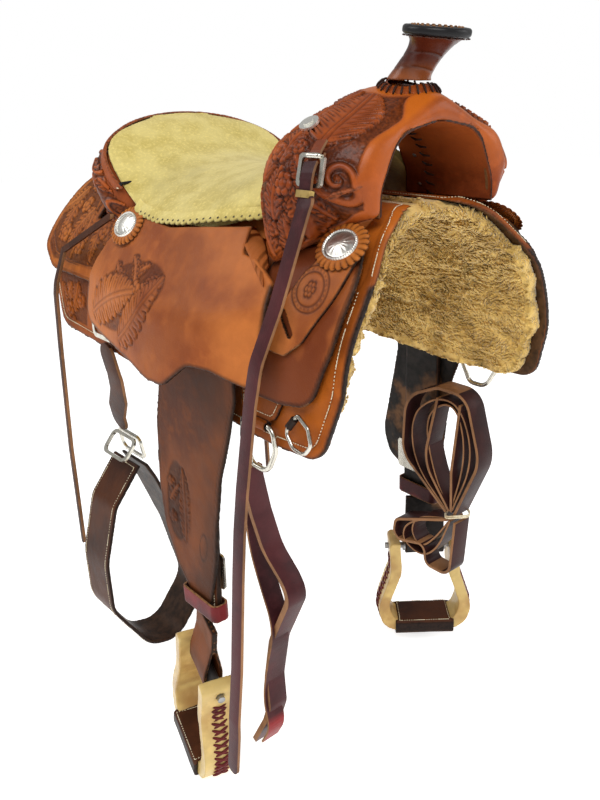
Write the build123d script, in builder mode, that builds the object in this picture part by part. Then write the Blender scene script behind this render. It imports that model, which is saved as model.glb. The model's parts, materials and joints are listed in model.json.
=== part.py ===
from build123d import *
import math
import os

# Western ranch saddle with hanging stirrups, rear cinch, latigo and off billet.
# Millimetres. +Z is up, -Y is the horse's head end, +X is the rider's left.
# The origin is on the line the saddle rests along, under the middle of the tree.
# Left-hand pieces are modelled; a right-hand piece is its mirror image unless it differs.

# ---------------------------------------------------------------- driving dimensions
SKIRT_T = 7.0            # skirt leather
FLEECE_T = 15.0          # wool lining
GAP = 0.4                # clearance between neighbouring layers
JOCKEY_T = 5.0           # seat and rear jockeys
BAR_T = 10.0             # tree bars
SEAT_T = 9.0             # seat leather and its foam
GULLET_HALF = 88.0       # half width of the gullet at its foot
GULLET_TOP = 166.0       # height of the gullet's crown
HORN_CAP_R = 35.0
HORN_LEAN = 8.0          # forward lean of the horn cap, degrees
LEATHER_T = 8.0          # two plies of stirrup leather
LEATHER_W = 64.0
FENDER_T = 4.0
SWING = (-35.0, 30.0)    # y and z of the line that the stirrup leathers swing about
STIRRUP_DEPTH = 50.0
BOLT_R = 5.0
ROLLER_R = 9.0
RING = (-140.0, 193.4, -142.0)      # y, x and z of the front dee's bar
REAR_Y = 222.0           # middle of the rear rigging dee
CINCH_Y = 240.0
ROSETTE_A = 36.0         # rosette half length
ROSETTE_B = 29.0         # rosette half height
CINCH_W = 76.0

# outer face of the left skirt, seen from the front as (x, z) corners with rounding radii
SKIRT_LINE = [(4, 93), (80, 76), (166, -18), (195, -200)]
SKIRT_RADII = [120, 180]

# outer face of the hanging stirrup leather, seen from the front
LEATHER_LINE = [(150, 46), (184, -10), (202.4, -66), (215, -520)]
LEATHER_RADII = [80, 90]

X_SPAN = 420             # longer than any piece is wide
Y_SPAN = 620             # longer than any piece is long


# ---------------------------------------------------------------- helpers
def turn(a, b, c):
    """+1 where a line turns clockwise at b, otherwise -1."""
    return 1 if (b[0] - a[0]) * (c[1] - b[1]) - (b[1] - a[1]) * (c[0] - b[0]) < 0 else -1


def offset_corners(corners, distance):
    """Corners of the line that runs a constant distance to the left of a polyline."""
    points = [Vector(x, z) for x, z in corners]
    normals = []
    for a, b in zip(points[:-1], points[1:]):
        run = (b - a).normalized()
        normals.append(Vector(-run.Y, run.X))
    moved = [points[0] + normals[0] * distance]
    for i in range(1, len(points) - 1):
        both = normals[i - 1] + normals[i]
        moved.append(points[i] + both * (distance / (1 + normals[i - 1].dot(normals[i]))))
    moved.append(points[-1] + normals[-1] * distance)
    return [(p.X, p.Y) for p in moved]


def offset_radii(corners, radii, distance):
    """Rounding radii that belong to offset_corners."""
    bends = zip(corners[:-2], corners[1:-1], corners[2:])
    return [r + turn(*bend) * distance for r, bend in zip(radii, bends)]


def band_face(corners, radii, near, far):
    """Closed sketch between two offsets of a rounded polyline."""
    with BuildSketch() as face:
        with BuildLine():
            inner = FilletPolyline(*offset_corners(corners, near),
                                   radius=offset_radii(corners, radii, near))
            outer = FilletPolyline(*offset_corners(corners, far),
                                   radius=offset_radii(corners, radii, far))
            Line(inner @ 0, outer @ 0)
            Line(inner @ 1, outer @ 1)
        make_face()
    return face.sketch


def outline_face(corners, radii):
    """Closed rounded polygon."""
    with BuildSketch() as face:
        with BuildLine():
            FilletPolyline(*corners, radius=radii, close=True)
        make_face()
    return face.sketch


def ribbon_face(points, width):
    """Strap of constant width along a line of (y, z) points."""
    with BuildSketch() as face:
        for (y0, z0), (y1, z1) in zip(points[:-1], points[1:]):
            slope = math.degrees(math.atan2(z1 - z0, y1 - y0))
            with Locations(Location(((y0 + y1) / 2, (z0 + z1) / 2), slope)):
                SlotCenterToCenter(math.hypot(y1 - y0, z1 - z0), width)
    return face.sketch


def sheet(near, far, outline, corners=SKIRT_LINE, radii=SKIRT_RADII):
    """Leather between two offsets of a line in the front view, cut to a side-view outline."""
    with BuildPart() as piece:
        with BuildSketch(Plane.XZ):
            add(band_face(corners, radii, near, far))
        extrude(amount=Y_SPAN, both=True)
        with BuildSketch(Plane.YZ):
            add(outline)
        extrude(amount=X_SPAN, mode=Mode.INTERSECT)
    return piece.part


def under_skirt_line(distance):
    """Cutter that fills everything below an offset of the skirt line, on both sides."""
    left = offset_corners(SKIRT_LINE, distance)
    radii = offset_radii(SKIRT_LINE, SKIRT_RADII, distance)
    with BuildPart() as below:
        with BuildSketch(Plane.XZ) as section:
            with BuildLine():
                line = FilletPolyline((-1, left[0][1]), *left[1:], radius=radii)
                Polyline(line @ 1, (left[-1][0], -300), (-1, -300), line @ 0)
            make_face()
            mirror(about=Plane.YZ)
        extrude(amount=Y_SPAN, both=True)
    return below.part


def mirrored(part):
    """The right-hand twin of a left-hand part."""
    return mirror(part, about=Plane.YZ)


def group(*parts):
    """One node made of several separate solids."""
    return Compound(children=[solid for part in parts for solid in part.solids()])


def both_sides(part):
    return group(part, mirrored(part))


def slope_plane(x, z, y, slope, distance):
    """Plane on a leather face that falls outward, its z axis pointing out of the face."""
    out = Vector(slope[0], 0, slope[1]).normalized()
    return Plane(origin=Vector(x, y, z) + out * distance, x_dir=(0, 1, 0), z_dir=out)


def save(name, part):
    """Labels a finished piece and writes its STEP file."""
    part.label = name
    export_step(part, f"parts/{name}.step")


def save_pair(name, left):
    """Writes a left-hand piece and its mirror image."""
    save(f"{name}_left", left)
    save(f"{name}_right", mirrored(left))


# ---------------------------------------------------------------- skirts, lining, bars
def make_skirt():
    """Skirt leather, open over the spine in front of the cantle."""
    outline = outline_face(
        [(-212, 82), (-232, 70), (-261, 10), (-260, -90), (-238, -161), (-150, -165),
         (380, -131), (412, -60), (412, 100), (300, 100), (280, 84), (-80, 84)],
        [4, 30, 90, 70, 30, 60, 34, 120, 4, 4, 4, 4])
    return sheet(-SKIRT_T, 0, outline)


def make_fleece():
    """Wool lining under the skirt, a little short of its edge."""
    outline = outline_face(
        [(-202, 80), (-222, 68), (-247, 8), (-240, -88), (-214, -150), (-150, -154),
         (376, -126), (408, -60), (408, 94), (300, 94), (280, 80)],
        [4, 30, 90, 70, 28, 60, 32, 120, 4, 4, 4])
    return sheet(-SKIRT_T - GAP - FLEECE_T, -SKIRT_T - GAP, outline)


def make_bar():
    """Tree bar that carries the load along one side of the spine."""
    outline = outline_face(
        [(-205, 74), (-205, 60), (-150, 44), (230, 44), (296, 56), (296, 78), (120, 68), (-80, 68)],
        [4, 8, 30, 30, 10, 6, 30, 30])
    return sheet(GAP, GAP + BAR_T, outline)


# ---------------------------------------------------------------- jockeys
def make_rear_jockey():
    """Housing behind the cantle; its corner stands out past the skirt."""
    outline = outline_face(
        [(205, 30), (205, -52), (270, -52), (400, -46), (438, -16), (436, 40), (420, 96),
         (322, 96), (322, 30)],
        [3, 8, 30, 30, 24, 60, 20, 3, 3])
    with BuildPart() as piece:
        for y, distance in ((190, 1.0), (300, 2.5), (450, 9.0)):
            with BuildSketch(Plane.XZ.offset(-y)):
                add(band_face(SKIRT_LINE, SKIRT_RADII, distance, distance + JOCKEY_T))
        loft()
        with BuildSketch(Plane.YZ):
            add(outline)
        extrude(amount=X_SPAN, mode=Mode.INTERSECT)
    return piece.part


# seat jockey stations along the saddle: y, then (x, z) corners of the outer face
JOCKEY_STATIONS = [
    (-170, [(97, 88), (139, 48), (187, -12), (212, -170)]),
    (-112, [(97, 92), (149, 60), (214, -28), (238, -160)]),
    (110, [(97, 92), (154, 60), (216, -28), (240, -160)]),
    (275, [(97, 88), (142, 48), (190, -14), (216, -170)]),
]
JOCKEY_RADII = [60, 80]


def make_seat_jockey():
    """Side leather of the seat, standing out over the stirrup leathers."""
    outline = outline_face(
        [(-88, 62), (-20, 56), (60, 48), (150, 52), (178, 58), (212, 20), (236, -40), (244, -92),
         (190, -99), (60, -109), (10, -118), (-24, -116), (-66, -84), (-100, -84), (-162, -100),
         (-160, -20), (-152, 12), (-118, 32), (-96, 36)],
        [6, 60, 80, 40, 12, 90, 90, 26, 200, 200, 16, 24, 26, 30, 14, 60, 10, 6, 6])
    with BuildPart() as piece:
        for y, corners in JOCKEY_STATIONS:
            with BuildSketch(Plane.XZ.offset(-y)):
                add(band_face(corners, JOCKEY_RADII, -JOCKEY_T, 0))
        loft()
        with BuildSketch(Plane.YZ):
            add(outline)
        extrude(amount=X_SPAN, mode=Mode.INTERSECT)
        add(seat_band(-GAP, SEAT_T + GAP, -GAP, len(SEAT_STATIONS)), mode=Mode.SUBTRACT)
    return piece.part


def make_front_jockey():
    """Rounded flap under the front concho that covers the rigging."""
    outline = outline_face(
        [(-222, 62), (-250, 20), (-248, -40), (-226, -104), (-176, -112), (-112, -112), (-112, 30),
         (-150, 42)],
        [6, 60, 80, 34, 40, 8, 8, 30])
    return sheet(5.5, 10.0, outline)


def make_latigo_keeper():
    """Tab hanging from the front concho, with a slot for the end of a latigo."""
    outline = outline_face(
        [(-196, 58), (-236, 50), (-234, 8), (-206, -40), (-182, -58), (-140, -56), (-134, -36),
         (-160, -8), (-172, 20)],
        [12, 16, 60, 18, 14, 14, 10, 40, 30])
    with BuildPart() as piece:
        add(sheet(10.4, 14.4, outline))
        with BuildSketch(Plane.YZ):
            with Locations(Location((-176, -26), 42)):
                SlotOverall(34, 8)
        extrude(amount=X_SPAN, mode=Mode.SUBTRACT)
    return piece.part


# ---------------------------------------------------------------- rigging on the skirt
def make_rigging_plate():
    """Leather plate with the rolled loop that carries the front dee."""
    ring_y, ring_x, ring_z = RING
    outline = outline_face(
        [(-176, -20), (-176, -112), (-164, -136), (-104, -136), (-96, -20)],
        [10, 20, 8, 8, 10])
    with BuildPart() as loop:
        with BuildSketch(Plane.XZ.offset(-ring_y)):
            with Locations((ring_x, ring_z)):
                Circle(5.9)
                Circle(3.6, mode=Mode.SUBTRACT)
        extrude(amount=18, both=True)
    with BuildPart() as plate:
        add(sheet(GAP, GAP + 4.4, outline))
        with BuildSketch(Plane.XZ.offset(-ring_y)):
            with Locations((ring_x, ring_z)):
                Circle(5.9 + GAP)
        extrude(amount=45, both=True, mode=Mode.SUBTRACT)
    return group(plate.part, loop.part)


def make_front_dee():
    """Wire dee hanging from the rigging plate, its bar along Y."""
    ring_y, ring_x, ring_z = RING
    wire = 3.2
    with BuildPart() as dee:
        with BuildLine(Plane.YZ.offset(ring_x)) as path:
            FilletPolyline((ring_y - 27, ring_z), (ring_y - 31, ring_z - 26), (ring_y - 14, ring_z - 56),
                           (ring_y + 14, ring_z - 56), (ring_y + 31, ring_z - 26), (ring_y + 27, ring_z),
                           radius=[12, 20, 20, 12, 8, 8], close=True)
        with BuildSketch(Plane(path.line @ 0, z_dir=path.line % 0)):
            Circle(wire)
        sweep(path=path.line)
    return dee.part


def make_breast_dee():
    """Small wire dee low on the front of the skirt, and the leather clip that holds it."""
    face = slope_plane(186.4, -127, -199, (0.988, 0.156), 6.0)
    bar = Vector(12, -16, 0).normalized()
    frame = Plane(origin=face.origin, x_dir=face.x_dir * -bar.X + face.y_dir * -bar.Y, z_dir=face.z_dir)
    with BuildPart() as dee:
        with BuildLine(frame) as path:
            FilletPolyline((-14, 0), (-17, 20), (-8, 36), (8, 36), (17, 20), (14, 0),
                           radius=[8, 11, 11, 8, 4, 4], close=True)
        with BuildSketch(Plane(path.line @ 0, z_dir=path.line % 0)):
            Circle(2.2)
        sweep(path=path.line)
    with BuildPart() as clip:
        with BuildSketch(Plane(origin=frame.origin, x_dir=frame.z_dir, z_dir=frame.x_dir)):
            Circle(4.6)
            Circle(2.6, mode=Mode.SUBTRACT)
        extrude(amount=8, both=True)
    return dee.part, clip.part


def make_rear_dee():
    """Fixed slotted dee low on the skirt that the rear billet hangs from."""
    with BuildPart() as dee:
        with BuildSketch(Plane.YZ.offset(191)):
            with Locations((REAR_Y, -106)):
                RectangleRounded(60, 34, 9)
                RectangleRounded(48, 20, 5, mode=Mode.SUBTRACT)
        extrude(amount=3.6)
    return dee.part


# ---------------------------------------------------------------- fork and horn
FORK_STATIONS = [        # y, half width at the swell, crown height, foot half width, foot height
    (-228, 110, 184, 94, 80),
    (-206, 140, 198, 112, 70),
    (-160, 164, 204, 140, 46),
    (-122, 158, 200, 150, 24),
    (-96, 132, 182, 128, 38),
]


def fork_half():
    """Left half of the swelled fork."""
    with BuildPart() as body:
        for y, half, crown, foot, foot_z in FORK_STATIONS:
            outside = [(foot, foot_z), (half - 3, foot_z + 32), (half, 100), (half - 13, 136),
                       (0.62 * half, crown - 32), (0, crown)]
            with BuildSketch(Plane.XZ.offset(-y)):
                with BuildLine():
                    crest = Spline(*outside, tangents=[(0.35, 1), (-1, 0)],
                                   tangent_scalars=[0.5, 0.5])
                    Polyline(crest @ 1, (0, foot_z), crest @ 0)
                make_face()
        loft(ruled=True)
    return body.part


def gullet_face(widen):
    """Front view of the gullet opening, widened by a lining's thickness."""
    half, top = GULLET_HALF + widen, GULLET_TOP + widen
    with BuildSketch() as face:
        with BuildLine():
            arch = FilletPolyline((-half, -20), (-half, 100), (-half + 26, top - 12), (0, top),
                                  (half - 26, top - 12), (half, 100), (half, -20),
                                  radius=[50, 44, 80, 44, 50])
            Line(arch @ 1, arch @ 0)
        make_face()
    return face.sketch


def rosette_pocket():
    """Room for the rosettes in the edges of the pieces above them."""
    rooms = []
    for centre in CONCHO_FACES:
        with BuildPart() as room:
            with BuildSketch(slope_plane(*centre, -GAP)):
                Ellipse(ROSETTE_A + 0.6, ROSETTE_B + 0.6)
            extrude(amount=60)
        rooms.append(room.part)
    return both_sides(group(*rooms))


def make_fork():
    """Wooden arch of the fork, the leather-covered swell built up on it and the gullet lining."""
    under = under_skirt_line(GAP + BAR_T + GAP)
    pocket = rosette_pocket()
    with BuildPart() as wood:
        with BuildSketch(Plane.XZ.offset(200)):
            add(gullet_face(13))
            add(gullet_face(3.4), mode=Mode.SUBTRACT)
        extrude(amount=-76)
        add(under, mode=Mode.SUBTRACT)
        add(pocket, mode=Mode.SUBTRACT)
    with BuildPart() as half:
        add(fork_half())
        with BuildSketch(Plane.XZ.offset(200.4)):
            add(gullet_face(13.4))
        extrude(amount=-76.8, mode=Mode.SUBTRACT)
        add(under, mode=Mode.SUBTRACT)
        add(pocket, mode=Mode.SUBTRACT)
        with BuildSketch(Plane.XZ):
            add(gullet_face(3.4))
        extrude(amount=Y_SPAN, both=True, mode=Mode.SUBTRACT)
    with BuildPart() as cover:
        add(half.part)
        mirror(about=Plane.YZ)
    with BuildPart() as lining:
        with BuildSketch(Plane.XZ.offset(228)):
            add(gullet_face(3.1))
            add(gullet_face(0), mode=Mode.SUBTRACT)
        extrude(amount=-132)
        add(under, mode=Mode.SUBTRACT)
    return wood.part, cover.part, lining.part


HORN_SECTIONS = [        # centre y, centre z, radius, forward lean in degrees
    (-181, 206.5, 24.0, 4),
    (-190, 218, 19.0, 24),
    (-205, 234, 19.5, 20),
    (-218, 246.5, 30.0, HORN_LEAN),
]


def horn_plane(y, z, lean):
    """Plane across the horn, leaning forward."""
    angle = math.radians(lean)
    return Plane(origin=(0, y, z), x_dir=(1, 0, 0), z_dir=(0, -math.sin(angle), math.cos(angle)))


def horn_loft(inset, sections):
    with BuildPart() as stem:
        for y, z, radius, lean in sections:
            with BuildSketch(horn_plane(y, z, lean)):
                Circle(radius - inset)
        loft()
    return stem.part


def make_horn():
    """Steel core, leather-wrapped neck, bound cap edge and cap leather."""
    cap = horn_plane(-218, 246.5, HORN_LEAN)
    core = horn_loft(10, HORN_SECTIONS[:3])
    with BuildPart() as wrap:
        add(horn_loft(0, HORN_SECTIONS))
        add(core, mode=Mode.SUBTRACT)
    with BuildPart() as ring:
        with BuildSketch(cap.offset(GAP)):
            Circle(HORN_CAP_R)
            Circle(HORN_CAP_R - 9, mode=Mode.SUBTRACT)
        extrude(amount=9)
        fillet(ring.edges().filter_by(GeomType.CIRCLE).group_by(SortBy.RADIUS)[-1], radius=3.5)
    with BuildPart() as top:
        with BuildSketch(cap.offset(GAP)):
            Circle(HORN_CAP_R - 9 - GAP)
        extrude(amount=8)
    return core, wrap.part, ring.part, top.part


def make_fork_screw():
    """Screw with a cup washer on the shoulder of the fork."""
    face = Plane(origin=(115.2, -153.2, 165.8), x_dir=(0, 1, 0), z_dir=(0.55, -0.05, 0.83))
    with BuildPart() as screw:
        with BuildSketch(face.offset(1)):
            Circle(11)
        extrude(amount=3)
        with BuildSketch(face.offset(4)):
            Circle(6)
        extrude(amount=2)
    return screw.part


def make_strap_hanger():
    """Roller buckle fixed on the right swell that the rope strap hangs from."""
    face = Plane(origin=(-151, -196, 126), x_dir=(0, 1, 0), z_dir=(-1, -0.25, 0.25))
    with BuildPart() as buckle:
        with BuildSketch(face):
            RectangleRounded(30, 32, 5)
            RectangleRounded(22, 24, 3, mode=Mode.SUBTRACT)
        extrude(amount=4)
    return buckle.part


# ---------------------------------------------------------------- seat and cantle
SEAT_STATIONS = [        # y, half width, edge height, crown height
    (-95, 118, 78, 152),
    (-40, 137, 68, 134),
    (30, 152, 59, 115),
    (100, 155, 56, 110),
    (150, 152, 62, 112),
    (190, 150, 83, 120),
    (225, 150, 117, 138),
    (262, 108, 157, 165),
    (280, 50, 175, 178),
]


def seat_band(upper, lower, narrow, count):
    """Arched band between two depths under the seat's surface."""
    with BuildPart() as band:
        for y, half, edge, crown in SEAT_STATIONS[:count]:
            w = half - narrow
            with BuildSketch(Plane.XZ.offset(-y)):
                with BuildLine():
                    ThreePointArc((-w, edge - upper), (0, crown - upper), (w, edge - upper))
                    ThreePointArc((5 - w, edge - lower), (0, crown - lower), (w - 5, edge - lower))
                    Line((-w, edge - upper), (5 - w, edge - lower))
                    Line((w, edge - upper), (w - 5, edge - lower))
                make_face()
        loft()
    return band.part


def make_ground_seat():
    """Metal strainer bridging the bars under the seat."""
    with BuildPart() as plate:
        add(seat_band(SEAT_T + GAP, SEAT_T + 4.4, 10, len(SEAT_STATIONS)))
        with BuildSketch(Plane.XY):
            with Locations((0, 27)):
                Rectangle(104, 244)
        extrude(amount=300, mode=Mode.INTERSECT)
    return plate.part


CANTLE_TILT = 46.1       # degrees the rim's plane leans back from vertical
CANTLE_ORIGIN = (0, 165, 57)
CANTLE_STATIONS = [      # depth behind the rim, then half outline points (x, up the rim's plane)
    (0, [(124, -45), (139, 0), (155, 60), (147, 103), (110, 138), (58, 160), (0, 167)]),
    (30, [(124, -45), (148, 0), (166, 61), (158, 105), (118, 143), (62, 166), (0, 173)]),
    (62, [(114, -45), (138, 0), (152, 50), (140, 92), (102, 126), (55, 146), (0, 152)]),
    (88, [(100, -45), (120, -5), (130, 35), (118, 70), (90, 98), (50, 116), (0, 122)]),
]


def rim_plane(depth):
    """Plane parallel to the cantle's rim, its x axis along world x and its y axis up the rim."""
    angle = math.radians(CANTLE_TILT)
    normal = Vector(0, math.sin(angle), -math.cos(angle)) * -1
    base = Plane(origin=CANTLE_ORIGIN, x_dir=(1, 0, 0), z_dir=(0, -math.cos(angle), math.sin(angle)))
    return base.offset(-depth) if normal.Z > 0 else base


def rim_face(half, inset):
    """Closed cantle section; inset moves it in toward its middle."""
    scale = [((x - inset * min(1, x / 60)), (v - inset * max(0, min(1, v / 80)))) for x, v in half]
    with BuildSketch() as face:
        with BuildLine():
            crest = Spline(*scale, *[(-x, v) for x, v in reversed(scale[:-1])])
            Line(crest @ 1, crest @ 0)
        make_face()
    return face.sketch


def cantle_body(inset, front, back):
    """Cantle from its rim plane to its rear, leaning back."""
    with BuildPart() as body:
        for i, (depth, half) in enumerate(CANTLE_STATIONS):
            shift = front if i == 0 else (-back if i == len(CANTLE_STATIONS) - 1 else 0)
            with BuildSketch(rim_plane(depth + shift)):
                add(rim_face(half, inset))
        loft()
    return body.part


def make_cantle(jockeys):
    """Wooden cantle, the tooled leather behind it and the stitched binding of its rim."""
    under = under_skirt_line(GAP + BAR_T + GAP)
    seat = seat_band(-GAP, SEAT_T + GAP, -GAP, len(SEAT_STATIONS))
    with BuildPart() as wood:
        add(cantle_body(5.4, 3, 6))
        for cutter in (under, seat, jockeys):
            add(cutter, mode=Mode.SUBTRACT)
    with BuildPart() as back:
        add(cantle_body(0, 12.4, 0))
        for cutter in (cantle_body(5.4, 3, 6), under, seat, jockeys):
            add(cutter, mode=Mode.SUBTRACT)
    with BuildPart() as binding:
        with BuildSketch(rim_plane(-2)):
            add(rim_face([(x + 4, v + 3) for x, v in CANTLE_STATIONS[0][1]], 0))
            add(rim_face(CANTLE_STATIONS[0][1], 0), mode=Mode.SUBTRACT)
        extrude(amount=-14)
        for cutter in (cantle_body(5.4, 3, 6), seat, under_skirt_line(60)):
            add(cutter, mode=Mode.SUBTRACT)
    return wood.part, back.part, binding.part


# ---------------------------------------------------------------- stirrup leathers and fenders
def swing_cylinder(radius):
    """Cylinder about the line that the leathers swing about."""
    with BuildPart() as drum:
        with BuildSketch(Plane.YZ):
            with Locations(SWING):
                Circle(radius)
        extrude(amount=X_SPAN)
    return drum.part


def make_leather_loop():
    """Fixed upper end of the stirrup leathers where they pass over the bar."""
    y0, z0 = SWING
    outline = outline_face([(y0 - 32, 38), (y0 - 32, -60), (y0 + 32, -60), (y0 + 32, 38)],
                           [2, 2, 2, 2])
    with BuildPart() as loop:
        add(sheet(-LEATHER_T, 0, outline, LEATHER_LINE, LEATHER_RADII))
        add(swing_cylinder(44), mode=Mode.INTERSECT)
    return loop.part


def make_stirrup_leather(bottom_y, bottom_z):
    """Hanging part of the leathers, from the bar down to the loop that carries the stirrup."""
    y0, z0 = SWING
    half = LEATHER_W / 2
    outline = outline_face([(y0 - half, 10), (bottom_y - half, bottom_z), (bottom_y + half, bottom_z),
                            (y0 + half, 10)], [2, 2, 2, 2])
    with BuildPart() as leather:
        add(sheet(-LEATHER_T, 0, outline, LEATHER_LINE, LEATHER_RADII))
        add(swing_cylinder(44.5), mode=Mode.SUBTRACT)
    return leather.part


def make_fender(corners, radii):
    """Wide guard outside the leathers."""
    return sheet(GAP, GAP + FENDER_T, outline_face(corners, radii), LEATHER_LINE, LEATHER_RADII)


def make_length_buckle(bottom_y, bottom_z):
    """Flat plate of the length adjuster behind the leathers."""
    with BuildPart() as plate:
        add(sheet(-LEATHER_T - GAP - 2.6, -LEATHER_T - GAP,
                  outline_face([(bottom_y - 40, bottom_z + 98), (bottom_y - 40, bottom_z + 48),
                                (bottom_y + 40, bottom_z + 48), (bottom_y + 40, bottom_z + 98)],
                               [6, 6, 6, 6]), LEATHER_LINE, LEATHER_RADII))
    return plate.part


def make_hobble_strap(bottom_y, bottom_z):
    """Strap buckled round the leathers and the fender's tail, just above the stirrup."""
    y0, y1, z0, z1 = bottom_y - 36, bottom_y + 36, bottom_z + 4, bottom_z + 29
    x_low = LEATHER_LINE[-1][0] - 12 - (bottom_z + 520) * 0.0278
    with BuildPart() as strap_ring:
        with BuildSketch(Plane.XY.offset(z0)):
            with Locations((x_low + 8.6, (y0 + y1) / 2)):
                RectangleRounded(25.4, y1 - y0 + 7, 9)
                RectangleRounded(18.4, y1 - y0, 6, mode=Mode.SUBTRACT)
        extrude(amount=z1 - z0)
    return strap_ring.part


# ---------------------------------------------------------------- stirrups
STIRRUP_OUTER = [(-61, 16), (-57, -40), (-80, -110), (-68, -156), (68, -156), (80, -110), (57, -40),
                 (61, 16)]
STIRRUP_INNER = [(-43, 30), (-39, -40), (-61, -106), (-50, -138), (50, -138), (61, -106), (39, -40),
                 (43, 30)]


def make_stirrup_frame():
    """Bell-shaped frame in its own axes: the bolt is along Y at the origin."""
    with BuildPart() as frame:
        with BuildSketch(Plane.YZ):
            add(outline_face(STIRRUP_OUTER, [8, 60, 40, 34, 34, 40, 60, 8]))
            add(outline_face(STIRRUP_INNER, [1, 70, 30, 22, 22, 30, 70, 1]), mode=Mode.SUBTRACT)
        extrude(amount=STIRRUP_DEPTH / 2, both=True)
        with BuildSketch(Plane.XZ):
            Circle(BOLT_R + GAP)
        extrude(amount=80, both=True, mode=Mode.SUBTRACT)
    return frame.part


def make_stirrup_tread():
    """Leather sleeve round the foot bar, its ends shaped to the frame."""
    with BuildPart() as tread:
        with BuildSketch(Plane.XZ):
            with Locations((0, -146.5)):
                RectangleRounded(62, 27, 6)
                RectangleRounded(STIRRUP_DEPTH + 0.8, 19.2, 1, mode=Mode.SUBTRACT)
        extrude(amount=50, both=True)
        add(make_stirrup_frame(), mode=Mode.SUBTRACT)
    return tread.part


def make_stirrup_bolt():
    """Bolt through the frame with the roller that the leather hangs on."""
    with BuildPart() as bolt:
        with BuildSketch(Plane.XZ):
            Circle(BOLT_R)
        extrude(amount=66, both=True)
        with BuildSketch(Plane.XZ):
            Circle(ROLLER_R)
        extrude(amount=36, both=True)
    return bolt.part


def make_stirrup_loop(drop):
    """Leather doubled round the roller; drop is the height of its top above the bolt."""
    r = ROLLER_R + GAP + 2.1
    corners = [(-2.4, drop), (-2.4, 56), (-r, 14), (-r, -r), (r, -r), (r, 14), (2.4, 56), (2.4, drop)]
    with BuildPart() as loop:
        with BuildSketch(Plane.XZ):
            add(band_face(corners, [30, 30, r - 0.2, r - 0.2, 30, 30], -2, 2))
        extrude(amount=LEATHER_W / 2, both=True)
    return loop.part


def place(part, x, y, z, yaw, tilt):
    """Moves a stirrup piece from its own axes to where it hangs."""
    return Location((x, y, z), (tilt, 0, yaw)) * part


# ---------------------------------------------------------------- hanging straps
def make_cinch():
    """Rear cinch hanging in a closed teardrop, and its two buckles."""
    corners = [(-160, -324), (-146, -352), (-108, -455), (-78, -580), (-138, -652), (-188, -640),
               (-243, -550), (-243, -467), (-218, -378), (-172, -322)]
    with BuildPart() as cinch:
        with BuildSketch(Plane.XZ.offset(-CINCH_Y)):
            add(band_face(corners, [20, 120, 50, 40, 40, 60, 90, 40], -2.5, 2.5))
        extrude(amount=CINCH_W / 2, both=True)
    return cinch.part


def make_cinch_buckles():
    """Wire buckles at both ends of the rear cinch."""
    rings = []
    for x, z, lean in ((-183, -296, 40), (-163, -299, -10)):
        base = Plane(origin=(x, CINCH_Y, z), x_dir=(0, 1, 0), z_dir=(1, 0, 0))
        with BuildPart() as ring:
            with BuildSketch(base.rotated((0, lean, 0))):
                RectangleRounded(70, 40, 12)
                RectangleRounded(60, 30, 8, mode=Mode.SUBTRACT)
            extrude(amount=4)
        rings.append(ring.part)
    return group(*rings)


def make_off_billet():
    """Doubled off billet hanging from the right front dee."""
    edge_view = [(-117, -205), (-117, -265), (-124, -318), (-162, -371), (-120, -455), (-104, -525),
                 (-106, -570), (-94, -602), (-64, -656)]
    front_view = [(-192, -160), (-190, -218), (-166, -350), (-164, -700)]
    with BuildPart() as billet:
        with BuildSketch(Plane.YZ):
            add(band_face(edge_view, [60, 60, 24, 60, 40, 20, 20], -4, 4))
        extrude(amount=-X_SPAN)
        with BuildSketch(Plane.XZ):
            add(band_face(front_view, [30, 40], -14, 14))
        extrude(amount=Y_SPAN, both=True, mode=Mode.INTERSECT)
    return billet.part


def make_latigo():
    """Latigo folded into loops and tied; the loops hang from the left front dee."""
    loops = (
        ([(-118, -399), (-28, -330), (-34, -234), (-95, -206), (-148, -206), (-176, -300),
          (-134, -399)], [40, 50, 30, 30, 60]),
        ([(-120, -412), (-14, -454), (-8, -492), (-76, -474), (-80, -508), (-128, -508),
          (-136, -412)], [14, 14, 12, 12, 20]),
        ([(-124, -396), (-72, -330), (-96, -222)], [60]),
        ([(-128, -396), (-126, -330), (-138, -222)], [60]),
    )
    strands = []
    for corners, radii in loops:
        with BuildPart() as strand:
            with BuildSketch(Plane.YZ.offset(158)):
                add(band_face(corners, radii, -2.4, 2.4))
            extrude(amount=32)
        strands.append(strand.part)
    return group(*strands)


def make_rear_billet():
    """Strap from the right rear dee down to the cinch buckle."""
    outline = ribbon_face([(218, -146), (210, -176), (222, -212), (248, -244), (250, -258)], 38)
    return mirrored(sheet(-2.2, 2.2, outline, [(195.4, -100), (190, -172), (164, -292)], [90]))


def make_rope_strap():
    """Long carrying strap for a coiled rope, hanging from the right swell."""
    outline = ribbon_face([(-204, 96), (-194, 0), (-183, -54), (-176, -101), (-169, -200),
                           (-166, -307), (-165, -427), (-160, -518), (-152, -575)], 19)
    front_view = [(156, 118), (170, 92), (222, -60), (246, -250), (268, -500), (270, -640)]
    return mirrored(sheet(-1.8, 1.8, outline, front_view, [20, 80, 200, 60]))


def make_rear_string():
    """Long saddle string hanging behind the cantle."""
    outline = ribbon_face([(208, 48), (335, -10), (362, -80), (372, -166), (386, -343),
                           (386, -518)], 9)
    front_view = [(164, 60), (184, -4), (196, -60), (202, -530)]
    return sheet(-2.4, 2.4, outline, front_view, [50, 60])


# ---------------------------------------------------------------- conchos
CONCHO_FACES = [         # x, z, y of the centre and the (x, z) direction its face looks in
    (125.0, 50.0, -209.0, (0.738, 0.675)),
    (166.5, 39.5, 163.0, (0.804, 0.594)),
]


def make_concho(face):
    """Domed oval silver disc."""
    with BuildPart() as disc:
        with BuildSketch(face.offset(4)):
            Ellipse(24, 19)
        with BuildSketch(face.offset(8.5)):
            Ellipse(15, 11.5)
        loft()
    return disc.part


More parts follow.
